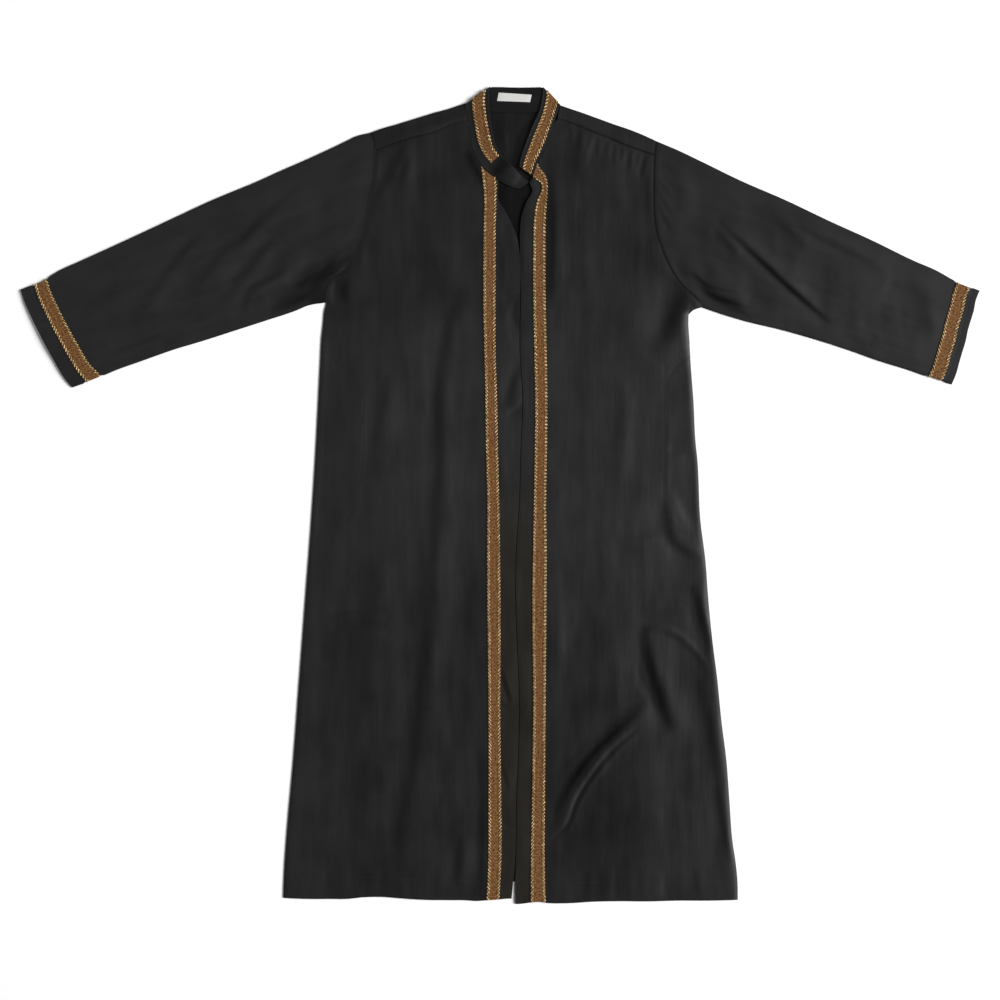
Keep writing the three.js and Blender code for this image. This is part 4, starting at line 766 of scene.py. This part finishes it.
# hollows: the run, its half width, and how deep the painted shade along it is, as sheen taken off the satin
shadeHollows = {
    "rightFront": [
        ([(-101.6, 205.6), (-103.2, 127.2), (-108, 39.2)], 8, 0.7),
        ([(-117.6, -16.8), (-125.6, -152.8), (-133.6, -312.8)], 9.6, 0.35),
        ([(2.4, -277.6), (8.8, -303.2), (18.4, -332)], 2.6, 0.9),
        ([(12, -104.8), (12, -392.8), (12, -632.8)], 14.4, 0.45),
        ([(-237.6, 356), (-245.6, 335.2), (-255.2, 311.2)], 5.4, 0.7),
        ([(-220, 391.2), (-228, 359.2), (-236, 327.2)], 4.2, 0.6),
        ([(-53.6, 551.2), (-39.2, 522.4), (-26.4, 493.6)], 6.4, 1.3),
    ],
    "leftFront": [
        ([(200.8, 567.2), (205.6, 455.2), (196, 343.2)], 35.2, 0.45),
        ([(325.6, -104.8), (338.4, -328.8), (354.4, -632.8)], 32, 0.5),
        ([(248.8, 263.2), (250.4, 151.2), (250.4, 39.2)], 32, 0.3),
        ([(40.8, -104.8), (40.8, -392.8), (40.8, -632.8)], 12.8, 0.45),
        ([(301.6, 349.6), (285.6, 304.8), (272.8, 240.8)], 19.2, 0.9),
        ([(311.2, 314.4), (295.2, 311.2), (279.2, 301.6)], 8, 0.7),
        ([(228, -341.6), (192.8, -372), (144.8, -418.4), (112.8, -464.8), (93.6, -509.6)], 5.1, 1.3),
        ([(221.6, -373.6), (186.4, -402.4), (146.4, -450.4), (122.4, -490.4), (106.4, -530.4),
            (85.6, -549.6)], 1.8, 0.9),
        ([(237.6, -232.8), (240.8, -264.8), (253.6, -316), (272.8, -373.6)], 4.8, 0.7),
        ([(322.4, -312.8), (333.6, -360.8), (344.8, -440.8)], 4.2, 0.6),
        ([(348, -472.8), (356, -512.8), (365.6, -576.8)], 3.8, 0.6),
        ([(164, -232.8), (170.4, -456.8), (170.4, -696.8)], 70.4, 0.35),
        ([(79.2, -512.8), (82.4, -568.8), (82.4, -648.8)], 9.6, 0.5),
        ([(234.4, 463.2), (242.4, 399.2), (256.8, 335.2)], 12.8, 0.7),
        ([(79.2, 519.2), (84, 423.2), (80.8, 311.2)], 4.8, 0.8),
    ],
    "rightSleeve": [
        ([(-264.8, 388), (-276, 343.2), (-285.6, 263.2)], 9.6, 2.6),
        ([(-245.6, 378.4), (-290.4, 328.8), (-322.4, 311.2), (-364, 295.2)], 8, 2.2),
        ([(-280.8, 362.4), (-290.4, 327.2), (-303.2, 260)], 12.8, 2.4),
        ([(-284, 372), (-304.8, 352.8), (-325.6, 330.4)], 9.6, 1.2),
        ([(-229.6, 391.2), (-248.8, 373.6), (-268, 360.8)], 8, 1.3),
        ([(-309.6, 311.2), (-341.6, 303.2), (-370.4, 295.2)], 3.8, 1.2),
        ([(-226.4, 410.4), (-261.6, 384.8), (-296.8, 359.2)], 3.8, 0.7),
        ([(-335.2, 365.6), (-352.8, 354.4), (-370.4, 340)], 5.8, 0.7),
        ([(-376.8, 442.4), (-394.4, 426.4), (-418.4, 402.4)], 5.4, 0.8),
        ([(-360.8, 407.2), (-380, 388), (-399.2, 365.6)], 5.8, 0.6),
        ([(-474.4, 420), (-498.4, 396), (-520.8, 368.8)], 4.8, 0.5),
    ],
    "leftSleeve": [
        ([(314.4, 338.4), (344.8, 316), (367.2, 308), (397.6, 296.8)], 6.7, 1.6),
        ([(356, 301.6), (381.6, 295.2), (404, 282.4)], 2.9, 1.2),
        ([(287.2, 354.4), (306.4, 354.4), (330.4, 335.2), (381.6, 324)], 2.6, 0.8),
        ([(388, 402.4), (456.8, 336.8), (525.6, 277.6)], 2.7, 1.2),
    ],
    "collar": [
        ([(20, 541.6), (0.8, 524), (-18.4, 506.4)], 12.8, 1.6),
        ([(42.4, 516), (23.2, 493.6), (13.6, 484)], 4.8, 0.3),
    ],
}


def armholeTop(share):
    return lowestTop + wall["armhole"] * np.sin(np.pi * np.clip(share, 0, 1)) ** 0.7


def sideLine(piece):
    return smoothLine(piece["armhole"] + piece["side"], 900)


# the fronts: rows and columns, where the strips bend to the neck, and how far each seam is pressed in
fronting = {
    "rows": 400, "bodyColumns": 88, "ribbonColumns": 8, "placketColumns": 10,
    "bendY": 458.4, "topY": (420.0, 640.0), "hemY": -645.0, "hemStitch": 32.0, "hemStitchY": -612.0,
    "riseWidth": 90.0, "flatter": 0.35, "sideDip": 1.25, "stitchDip": 0.2, "pocket": (1.6, 0.5),
    # the stretches of the fronts that painted light lightens are given here, and below them the painted
    # shade along the shoulder seams
    "paintedLightY": (330, 230, -60, -220), "paintedLightX": (-235, -300), "warmY": (40, -60),
    "armholeDip": {"right": 0.5, "left": 0.05},
    "edgeDip": {"right": 0.0, "left": 0.2},
    "shoulderDip": {"right": 0.4, "left": 0.1},
    "shoulderSeamShade": {"right": 0.4, "left": 1.6},
    "rippleSeed": {"right": 11, "left": 5},
}


def buildFront(side, piece, folds):
    outerLine = sideLine(piece)
    ribbonOuter, ribbonInner, freeEdge = (
        smoothLine(piece[key], 900) for key in ("ribbonOuter", "ribbonInner", "edge"))
    topLine = smoothLine(piece["seam"] + piece["neck"], 900)
    hemLine = smoothLine(piece["hem"], 200)
    bodyCount, ribbonCount = fronting["bodyColumns"], fronting["ribbonColumns"]
    shares = np.r_[
        np.linspace(0, 1, bodyCount, endpoint=False),
        np.linspace(1, 2, ribbonCount, endpoint=False),
        np.linspace(2, 3, fronting["placketColumns"] + 1),
    ]
    bendY = fronting["bendY"]
    bendX = edgeX(ribbonOuter, bendY)
    startX, startY = ribbonOuter[0]

    def acrossX(y):
        a, b, c, d = (edgeX(line, y) for line in (outerLine, ribbonOuter, ribbonInner, freeEdge))
        s = shares[None, :] + 0 * y
        # the strip's bend at the neck moves only the cloth close beside it
        calm = np.where(y > bendY, mix(bendX, startX, (y - bendY) / (startY - bendY)), b)
        beside = mix(a, calm, s) + (b - calm) * np.clip(s, 0, 1) ** 9
        return np.where(s <= 1, beside, np.where(s <= 2, mix(b, c, s - 1), mix(c, d, s - 2)))

    # each column's top is found by halving the stretch that it lies in
    top, high = (np.full((1, len(shares)), v) for v in fronting["topY"])
    for _ in range(40):
        middle = (high + top) / 2
        over = middle > edgeY(topLine, acrossX(middle))
        high, top = np.where(over, middle, high), np.where(over, top, middle)
    bottom = edgeY(hemLine, acrossX(np.full((1, len(shares)), fronting["hemY"])))
    drop = np.linspace(0, 1, fronting["rows"])[:, None]
    level = top.min()
    y = mix(level, bottom, drop) + (top - level) * (1 - ease(0, 0.16, drop))
    x = acrossX(y)
    inward = np.abs(x - edgeX(outerLine, y))
    fromEdge = np.abs(x - edgeX(freeEdge, y))
    highY, lowY = piece["armhole"][0][1], piece["armhole"][-1][1]
    share = (highY - y) / (highY - lowY)
    outer = np.where(share < 1, armholeTop(share), lowestTop)
    fullness = mix(fronting["flatter"], 1.0, ease(250, 450, y) * ease(0, 60, y - bottom))
    z = mix(outer, lowestTop + wall["loft"] * fullness, ease(0, fronting["riseWidth"], inward))
    body = foldField(x, y, folds) + ripples(x, y, fronting["rippleSeed"][side])
    z = np.maximum(z + body * ease(-2, 14, inward), wall["least"])
    shoulderEnd = abs(piece["seam"][-1][0])
    z -= fronting["sideDip"] * (1 - ease(0, 5, inward)) * (y < lowY)
    z -= fronting["armholeDip"][side] * groove(inward) * (y >= lowY)
    z -= fronting["edgeDip"][side] * groove(fromEdge) * (shares[None, :] > 2)
    z -= fronting["stitchDip"] * groove(y - bottom - fronting["hemStitch"], 2.2)
    z -= fronting["shoulderDip"][side] * groove(top - y) * (np.abs(x) > shoulderEnd)
    for pocket in piece["pockets"]:
        z += foldField(x, y, [(pocket, *fronting["pocket"])])
    grid = np.stack([x, y, z], axis=2)
    run = np.gradient(grid[0, :, :2], axis=0)
    outward = unit(np.stack([run[:, 1], -run[:, 0]], axis=1))
    outward *= np.sign((outward * (grid[0, :, :2] - grid[3, :, :2])).sum(1))[:, None]
    tuck = np.column_stack([grid[0, :, :2] + 2.2 * outward, np.maximum(grid[0, :, 2] - 1.3, 1.9)])
    grid = tucked(grid, tuck)
    x, y = grid[..., 0], grid[..., 1]
    warmth = (shares[None, :] > 1.95) * ease(*fronting["warmY"], y) * np.ones_like(x)
    matteAndPaintedShade = np.zeros(x.shape)  # seams are pressed flat and dull, and painted shade darkens them too
    matteAndPaintedShade[:3] = np.where(np.abs(x[:3]) > shoulderEnd, fronting["shoulderSeamShade"][side], 1.9)
    matteAndPaintedShade[:, 0] = np.maximum(matteAndPaintedShade[:, 0], 1.3 * (y[:, 0] > lowY))
    # painted shade in the folds and hollows as well
    matteAndPaintedShade = np.maximum(matteAndPaintedShade, foldShade(x, y, folds, shadeHollows[side + "Front"]))
    # painted light: a band across the middle of the body, and the right front's outer part, are marked to be
    # lightened
    paintedLight = np.maximum(plateau(y, *fronting["paintedLightY"]), ease(*fronting["paintedLightX"], x))
    front = cutPiece("frontVisual" + side.title(), grid, "front_" + side, satinCloth, wall["cloth"],
                     turned=side == "right", uv=np.stack([x, y], axis=2),
                     values={"warmth": warmth, "matteAndPaintedShade": matteAndPaintedShade, "paintedLight": paintedLight})
    return front, grid[tuckRows:], slice(bodyCount, bodyCount + ribbonCount + 1)


def facing(grid, turned):
    # the way each point of a sheet looks
    runU, runV = np.gradient(grid, axis=0), np.gradient(grid, axis=1)
    return unit(np.cross(runU, runV) if turned else np.cross(runV, runU))


# a ribbon: its thickness, how far its face stands over the cloth, and where its two cord strands lie
ribbon = {"thick": 0.5, "rise": 0.75, "crown": 0.15, "strands": (0.9, 2.9), "cordRise": 0.35}


def ribbonOn(name, grid, node, turned):
    # a flat woven strip over a stretch of cloth, with a cord along each edge
    normals = facing(grid, turned)
    across = np.linspace(-1, 1, grid.shape[1])[None, :, None]
    top = grid + normals * (ribbon["rise"] + ribbon["crown"] * (1 - across ** 2))
    width, length = lengthAlong(grid[grid.shape[0] // 2]), lengthAlong(grid[:, 0])
    strip = cutPiece(name, top, node, ribbonWeave, ribbon["thick"],
                     turned=turned, uv=np.stack(np.meshgrid(width, length), axis=2))
    cords = []
    for first, second, lean in ((0, 1, 1), (-1, -2, -1)):
        inward = unit(grid[:, second] - grid[:, first])
        for strand, aside in enumerate(ribbon["strands"]):
            line = top[:, first] + inward * aside + normals[:, first] * ribbon["cordRise"]
            cords.append((line, normals[:, first], 0.5 * strand, lean))
    return strip, cords


cord = {"pitch": 5.6, "sizes": {"Length": 4.4, "Width": 1.9, "Height": 1.8}}
stitch = {"pitch": 3.1, "rise": 0.12, "sizes": {"Length": 2.3, "Width": 0.55, "Height": 0.4}}


def sewnAlong(points, normals):
    # a run of stitches for layBeads
    return (points + stitch["rise"] * normals, normals, 0.0, 0.0)


def laidOn(grid, path):
    # a stitch line over the cloth: the path's own x and y at the height of the nearest point
    spots = smoothLine(path, 12 * len(path))
    flat = grid.reshape(-1, 3)
    nearest = [np.argmin(((flat[:, :2] - spot) ** 2).sum(1)) for spot in spots]
    line = np.column_stack([spots, flat[nearest, 2]])
    return sewnAlong(line, np.tile((0.0, 0.0, 1.0), (len(line), 1)))


fronts = {}
cordRuns = {}
stitchRuns = {}
for side, piece, folds in (("right", rightFront, rightFrontFolds), ("left", leftFront, leftFrontFolds)):
    key = "front" + side.title()
    front, grid, columns = buildFront(side, piece, folds)
    strip, cordRuns[key] = ribbonOn("ribbon" + key[0].upper() + key[1:], grid[:, columns],
                                    "trim_front_" + side, side == "right")
    fronts[side] = (front, strip)
    fromX, toX = (edgeX(line, fronting["hemStitchY"])
                  for line in (sideLine(piece), smoothLine(piece["ribbonOuter"])))
    hemX = np.linspace(fromX, toX, 24)[1:-1]
    hemPath = np.column_stack([hemX, edgeY(smoothLine(piece["hem"], 60), hemX) + fronting["hemStitch"]])
    stitchRuns[key] = [laidOn(grid, path) for path in (*piece["pockets"], hemPath)]
print("fronts cut")


back = {
    "shoulderColumns": 40, "neckColumns": 34, "rows": 170,
    "hemRise": 26.0, "hemY": -644.0, "roll": 3.6, "strip": 28.0, "seamDip": 0.6, "neckReach": 4.0,
    "openX": (-70, -20, 60, 110), "openY": (250, 380, 585, 612),
    "slope": 3.0, "slopeWidth": 22, "slopeY": (505, 530, 575, 600),
}


def buildBack():
    nShoulder = back["shoulderColumns"]
    total = 2 * nShoulder + back["neckColumns"]
    share = np.arange(total + 1) / total
    foldR, foldL = smoothLine(rightFront["fold"]), smoothLine(leftFront["fold"])
    shoulder = nShoulder / total
    shareR, shareL = share / shoulder, (1 - share) / shoulder
    onRight, onLeft = share <= shoulder + 1e-9, share >= 1 - shoulder - 1e-9
    middle = ~onRight & ~onLeft
    top = np.zeros((total + 1, 2))
    top[onRight] = at(foldR, shareR[onRight])
    top[onLeft] = at(foldL, shareL[onLeft])
    top[middle] = at(smoothLine(neckLine), (share[middle] - shoulder) / (1 - 2 * shoulder))
    drop = np.r_[0.0, 0.0015, np.linspace(0.006, 1, back["rows"])][:, None]
    hem = back["hemY"] + back["hemRise"] * np.sin(np.pi * share)[None, :]
    y = mix(top[None, :, 1], hem, drop)
    xR, xL = (edgeX(sideLine(piece), mix(piece["armhole"][0][1], back["hemY"], drop))
              for piece in (rightFront, leftFront))
    topShare = (top[None, :, 0] - top[0, 0]) / (top[-1, 0] - top[0, 0])
    x = mix(xR, xL, mix(topShare, share[None, :], ease(0, 0.3, drop)))
    # the inside shows between the fronts at the neck, in soft slack folds
    z = np.maximum(foldField(x, y, backFolds), 0) * plateau(x, *back["openX"]) * plateau(y, *back["openY"])
    body = np.stack([x, y, z], axis=2)
    seamR, seamL = smoothLine(rightFront["seam"]), smoothLine(leftFront["seam"])
    armR, armL = smoothLine(rightFront["armhole"][:3]), smoothLine(leftFront["armhole"][:3])
    # the strip rolled over each shoulder: shares of the way to the seam, then down round the roll
    r = back["roll"] / 2
    stations = [(reach, None) for reach in (0.985, 0.93, 0.8, 0.65, 0.5, 0.36, 0.24, 0.16)]
    for angle in (90, 60, 30, 0, -30, -60):
        a = math.radians(angle)
        stations.append(((1 - math.cos(a)) * r / back["strip"], r + r * math.sin(a)))
    rows = []
    for reach, height in stations:
        row = np.full((total + 1, 3), np.nan)
        for chosen, fold, seam, arm, part in (
            (onRight, foldR, seamR, armR, shareR), (onLeft, foldL, seamL, armL, shareL),
        ):
            t = part[chosen]
            shift = at(arm, np.array([reach]))[0] - mix(fold[0], seam[0], reach)
            row[chosen, :2] = mix(at(fold, t), at(seam, t), reach) + shift * ((1 - t) ** 2)[:, None]
            rise = mix(armholeTop(0.15), lowestTop + wall["loft"], ease(0, 0.45, t))
            level = mix(back["roll"], rise, ease(0.1, 0.8, reach))
            level = level - back["seamDip"] * groove((1 - reach) * back["strip"])
            row[chosen, 2] = level if height is None else height
        rows.append(row)
    under = body[0] - back["neckReach"] * unit(body[2] - body[0])
    rows[-1][middle] = under[middle]  # the neck edge runs on a little under the collar
    # the cloth slopes up to the half of the collar that lies highest
    rimX = edgeX(smoothLine(np.array([row[2:4] for row in collarLeft])), y)
    slope = (1 - ease(0, back["slopeWidth"], np.abs(x - rimX))) * plateau(y, *back["slopeY"])
    body[..., 2] += back["slope"] * slope * (x < rimX + 12)
    grid = np.concatenate([np.stack(rows), body])
    grid[..., 2] = np.maximum(grid[..., 2], wall["cloth"] + 0.1)
    # the low roll and the back's inside face are matte; painted shade also darkens the seam edge and the
    # inside further down the neck opening, where shade falls
    backMatteAndShade = (grid[..., 2] < 2.0) * 1.0
    backMatteAndShade[len(rows):] = mix(1.0, 1.9, ease(545, 495, y))
    backMatteAndShade[0] = 1.6
    return cutPiece("backVisual", grid, "back_panel", satinCloth, wall["cloth"],
                    uv=grid[..., :2], values={"matteAndPaintedShade": backMatteAndShade})


backPanel = buildBack()
print("back cut")


cuff = {
    "armRows": 150, "rampRows": 4, "ribbonRows": 8, "columns": 60,
    "hem": {"right": 23.5, "left": 16.6}, "ribbon": 22.0, "ramp": 7.0, "lift": 2.05, "stitching": 0.65,
    # one share per side is painted light, lightening that sleeve as a whole
    "armholeDip": {"right": 0.0, "left": 0.5}, "stitchDip": 0.08, "paintedLight": {"right": 1.0, "left": 0.1},
    "rippleSeed": {"right": 31, "left": 21},
}


def buildSleeve(side, piece, folds):
    armhole = smoothLine(piece["armhole"], 400)
    topLine, underLine = smoothLine(piece["sleeveTop"], 400), smoothLine(piece["sleeveUnder"], 400)
    cuffLine = smoothLine(piece["cuff"], 200)
    length = np.linalg.norm(topLine[-1] - topLine[0])
    hem = cuff["hem"][side]
    ribbonEnd = 1 - hem / length
    ribbonStart = ribbonEnd - cuff["ribbon"] / length
    ramp = cuff["ramp"] / length
    reach = np.r_[np.linspace(0, ribbonStart - ramp, cuff["armRows"], endpoint=False),
                  np.linspace(ribbonStart - ramp, ribbonStart, cuff["rampRows"], endpoint=False),
                  np.linspace(ribbonStart, ribbonEnd, cuff["ribbonRows"] + 1),
                  np.linspace(ribbonEnd, ribbonEnd + ramp, cuff["rampRows"] + 1)[1:],
                  np.linspace(ribbonEnd + ramp, 1, 6)[1:]]

    def spots(r, a):
        edge = mix(at(topLine, r), at(underLine, r), a[..., None])
        nearEnds = mix(armhole[0], armhole[-1], a[..., None])
        farEnds = mix(cuffLine[0], cuffLine[-1], a[..., None])
        ends = mix(nearEnds, farEnds, r[..., None])
        return mix(at(armhole, a), at(cuffLine, a), r[..., None]) + edge - ends

    def rowReach(a):
        # the rows at the cuff keep their distance from its edge all the way across
        run = (at(cuffLine, a) - spots(0 * a + 0.96, a)) / 0.04
        along = at(cuffLine, np.minimum(a + 0.02, 1)) - at(cuffLine, np.maximum(a - 0.02, 0))
        local = np.abs(run[:, 0] * along[:, 1] - run[:, 1] * along[:, 0]) / np.linalg.norm(along, axis=1)
        level = 1 - (1 - reach)[:, None] * (length / local)[None, :]
        return mix(reach[:, None], level, ease(0.55, ribbonStart - ramp, reach)[:, None])

    lift = cuff["lift"] * plateau(reach, ribbonStart - ramp, ribbonStart, ribbonEnd, ribbonEnd + ramp)
    width = np.linalg.norm(at(topLine, reach) - at(underLine, reach), axis=1)
    base = np.linspace(0, 1, cuff["columns"] + 1)
    r2 = rowReach(base)
    inset = ((2.0 + lift) / width)[:, None]
    a2 = inset + base[None, :] * (1 - 2 * inset)
    low = spots(r2, a2)
    x, y = low[..., 0], low[..., 1]
    arch = np.sin(np.pi * a2)
    crinkle = foldField(x, y, folds) + ripples(x, y, cuff["rippleSeed"][side])
    height = mix(armholeTop(a2), lowestTop + wall["sleeve"] * arch ** 0.8, ease(0, 0.12, r2))
    height += crinkle * ease(0, 0.03, r2) * arch ** 0.6
    height -= cuff["armholeDip"][side] * groove(r2 * length)
    fromStitch = (1 - reach) * length - hem * cuff["stitching"]
    height -= cuff["stitchDip"] * groove(fromStitch[:, None], 2.2)
    height = np.maximum(height, wall["least"] + lift[:, None] * 0.9)
    under = np.stack([x, y, lift[:, None] + 0 * x], axis=2)
    upper = np.stack([x, y, height], axis=2)

    def arc(end, edgeShare, fromRow, toRow):
        # the turn of the cloth along one side of the tube, from one row round to the other
        rim = spots(rowReach(base[[end]])[:, 0], edgeShare)
        middle = (fromRow[:, 2] + toRow[:, 2]) / 2
        points = []
        for turn, row, rise in ((0.45, fromRow, 0.12), (0.85, fromRow, 0.5), (1.0, fromRow, 1.0),
                                (0.85, toRow, 0.5), (0.45, toRow, 0.12)):
            points.append(np.column_stack([mix(fromRow[:, :2], rim, turn), mix(row[:, 2], middle, rise)]))
        return np.stack(points, axis=1)

    rimLow = lift / width
    ring = np.concatenate([
        under, arc(-1, 1 - rimLow, under[:, -1], upper[:, -1]),
        upper[:, ::-1], arc(0, rimLow, upper[:, 0], under[:, 0]),
    ], axis=1)
    tuck = ring[0] - 0.9 * unit(ring[1] - ring[0])
    tuck[:, 2] = np.maximum(ring[0, :, 2] - 1.3, ring[0, :, 2] * 0.3)
    ring = tucked(ring, tuck)
    around = np.r_[base, np.linspace(1, 1.02, 5), 1.02 + base, np.linspace(2.02, 2.04, 5)] * width.mean()
    uv = np.stack(np.meshgrid(around, np.r_[-0.004, 0, 0.0005, reach[1:]] * length), axis=2)
    # painted shade at the armhole seam, and in the sleeve's folds and hollows
    matteAndPaintedShade = np.zeros(ring.shape[:2])
    matteAndPaintedShade[:3] = 1.9
    matteAndPaintedShade = np.maximum(matteAndPaintedShade, foldShade(ring[..., 0], ring[..., 1], folds, shadeHollows[side + "Sleeve"]))
    # painted light: the whole sleeve is lightened by its set share
    paintedLight = np.full(ring.shape[:2], cuff["paintedLight"][side])
    tube = cutPiece("sleeveVisual" + side.title(), ring, "sleeve_" + side, satinCloth, wall["cloth"],
                    ring=True, turned=side == "left", uv=uv, values={"matteAndPaintedShade": matteAndPaintedShade, "paintedLight": paintedLight})
    firstRow = tuckRows + cuff["armRows"] + cuff["rampRows"]
    band = ring[firstRow:firstRow + cuff["ribbonRows"] + 1]
    band = np.concatenate([band, band[:, :1]], axis=1)
    strip, cords = ribbonOn("ribbonCuff" + side.title(), np.swapaxes(band, 0, 1),
                            "trim_cuff_" + side, side == "right")
    row = int(np.argmin(np.abs(fromStitch))) + tuckRows
    around = np.vstack([ring[row], ring[row, :1]])
    around[:, 2] = np.maximum(around[:, 2], 0.75)
    outward = np.swapaxes(facing(np.swapaxes(ring, 0, 1), side == "right"), 0, 1)[row]
    outward = np.vstack([outward, outward[:1]])
    return tube, strip, cords, [sewnAlong(around, outward)]


sleeves = {}
for side, piece, folds in (("right", rightFront, rightSleeveFolds), ("left", leftFront, leftSleeveFolds)):
    key = "cuff" + side.title()
    tube, strip, cordRuns[key], stitchRuns[key] = buildSleeve(side, piece, folds)
    sleeves[side] = (tube, strip)
print("sleeves cut")


# the collar: its width and thickness, the height its back stands on, and the station its ribbon starts at
collar = {"width": 38.0, "thick": 1.3, "foot": 2.0, "ribbonFrom": 4.05, "rightRows": 90, "leftRows": 80}


def buildCollar():
    foot = collar["foot"]
    right, left = np.array(collarRight), np.array(collarLeft)
    rightRows, leftRows = smoothLine(right, collar["rightRows"]), smoothLine(left, collar["leftRows"])
    backStations = np.pad(np.vstack([right[-1, :6], collarBack, left[0, :6]]), ((0, 0), (0, 2)),
                          constant_values=foot)
    backRows = smoothLine(backStations, 60)[3:-3]

    def curl(row, sign):
        # the band turns over at a shoulder, from its half down to its back
        r = (row[6] - foot) / 2
        run = unit(row[2:4] - row[0:2])
        out = np.array([-run[1], run[0]]) * sign
        rows = []
        for angle in (90, 60, 30, 0, -30, -60, -90):
            a = math.radians(angle)
            step = row.copy()
            step[0:4] += np.tile(out * r * (math.cos(a) - 1.0), 2)
            step[6:8] = foot + r + r * math.sin(a)
            rows.append(step)
        return np.array(rows)

    stations = np.vstack([rightRows[:-3], curl(right[-1], 1), backRows,
                          curl(left[0], -1)[::-1], leftRows[3:]])
    share = np.array([np.r_[np.linspace(0, row[4], 6)[:-1], np.linspace(row[4], row[5], 9)[:-1],
                            np.linspace(row[5], 1, 6)] for row in stations])
    ribbonColumns = slice(5, 14)
    seam, edge = stations[:, [0, 1, 6]], stations[:, [2, 3, 7]]
    grid = mix(seam[:, None], edge[:, None], share[..., None])
    across = share * collar["width"]
    onTop = (grid[..., 2] > 2.9) * ease(0, 8, np.minimum(across, collar["width"] - across + 4))
    grid[..., 2] += foldField(grid[..., 0], grid[..., 1], collarFolds) * onTop
    length = np.repeat(lengthAlong(grid[:, 10])[:, None], share.shape[1], 1)
    # the back band's inside face is matte; painted shade darkens the collar's hollows near its front ends
    collarMatteAndShade = np.repeat(ease(foot + 1.0, foot + 0.2, stations[:, 6])[:, None], share.shape[1], 1)
    collarMatteAndShade = np.maximum(collarMatteAndShade, foldField(grid[..., 0], grid[..., 1], shadeHollows["collar"], True))
    band = cutPiece("collarVisual", grid, "collar", satinCloth, collar["thick"],
                    uv=np.stack([across, length], axis=2), values={"matteAndPaintedShade": collarMatteAndShade})
    startRow = int(round(collar["ribbonFrom"] / (len(right) - 1) * collar["rightRows"]))
    strip, cords = ribbonOn("ribbonCollar", grid[startRow:, ribbonColumns], "trim_collar", False)
    return band, strip, cords, [sewnAlong(grid[:, -2], facing(grid, False)[:, -2])]


collarBand, collarStrip, cordRuns["collar"], stitchRuns["collar"] = buildCollar()

tape = {"corners": labelCorners, "z": collar["foot"] + 2.6, "droop": 0.5, "thick": 0.5}
u, v = np.meshgrid(np.linspace(0, 1, 25), np.linspace(0, 1, 9))
upperLeft, upperRight, lowerRight, lowerLeft = np.array(tape["corners"])
flat = mix(mix(upperLeft, upperRight, u[..., None]), mix(lowerLeft, lowerRight, u[..., None]), v[..., None])
tapeZ = tape["z"] - tape["droop"] * np.abs(2 * u - 1) ** 6
neckLabel = cutPiece("neckLabelVisual", np.dstack([flat, tapeZ]), "neck_label", labelTape, tape["thick"],
                     turned=True)
print("collar and label made")

cords, seams = {}, {}
for kind, made, laidRuns, tree, bead, slot in (
    ("cord", cords, cordRuns, braidTree, cord, "woven_ribbon"),
    ("stitches", seams, stitchRuns, stitchTree, stitch, "satin_cloth"),
):
    for key, runs in laidRuns.items():
        name = kind + key[0].upper() + key[1:]
        made[key] = layBeads(name, runs, tree, bead["pitch"], bead["sizes"], slot)

# each side's front and sleeve pieces are taken in turn; nothing is computed from them
for side in ("right", "left"):
    body, strip = fronts[side]
    key = "front" + side.title()
    body, strip = sleeves[side]
    key = "cuff" + side.title()


bpy.ops.mesh.primitive_plane_add(size=30, location=(0, 0, -0.0004))
floor = bpy.context.object
floor.name = "floor"
paper, paperTree = newMaterial("whitePaperSweep")
addSurface(paperTree, {"Base Color": hexColour("#ececec"), "Roughness": 0.9, "Specular IOR Level": 0.1})
floor.data.materials.append(paper)

studio = {"key": 3650.0, "fill": 12.0, "ambient": 0.2, "eye": (0.0002, -0.0078, 3.5), "lens": 78.75}


def softBox(name, spot, size, power):
    # a square soft box that looks at the middle of the cloth
    data = bpy.data.lights.new(name, "AREA")
    data.shape = "RECTANGLE"
    data.size = data.size_y = size
    data.energy = power
    lamp = newThing(name, data)
    lamp.location = spot
    lamp.rotation_mode = "QUATERNION"
    lamp.rotation_quaternion = (-Vector(spot)).to_track_quat("-Z", "Y")


softBox("keyBox", (11.0, -0.4, 7.6), 7.6, studio["key"])
softBox("fillBox", (-2.4, 1.2, 2.6), 2.2, studio["fill"])
world = bpy.data.worlds.new("softTent")
bpy.context.scene.world = world
world.use_nodes = True
world.node_tree.nodes["Background"].inputs["Color"].default_value = (1, 1, 1, 1)
world.node_tree.nodes["Background"].inputs["Strength"].default_value = studio["ambient"]

camera = newThing("camera", bpy.data.cameras.new("camera"))
camera.location = studio["eye"]
camera.data.lens = studio["lens"]
camera.data.sensor_width = 36
bpy.context.scene.camera = camera
bpy.context.scene.view_settings.view_transform = "Standard"
bpy.context.scene.render.resolution_x = 1000
bpy.context.scene.render.resolution_y = 1000
print("stage set")
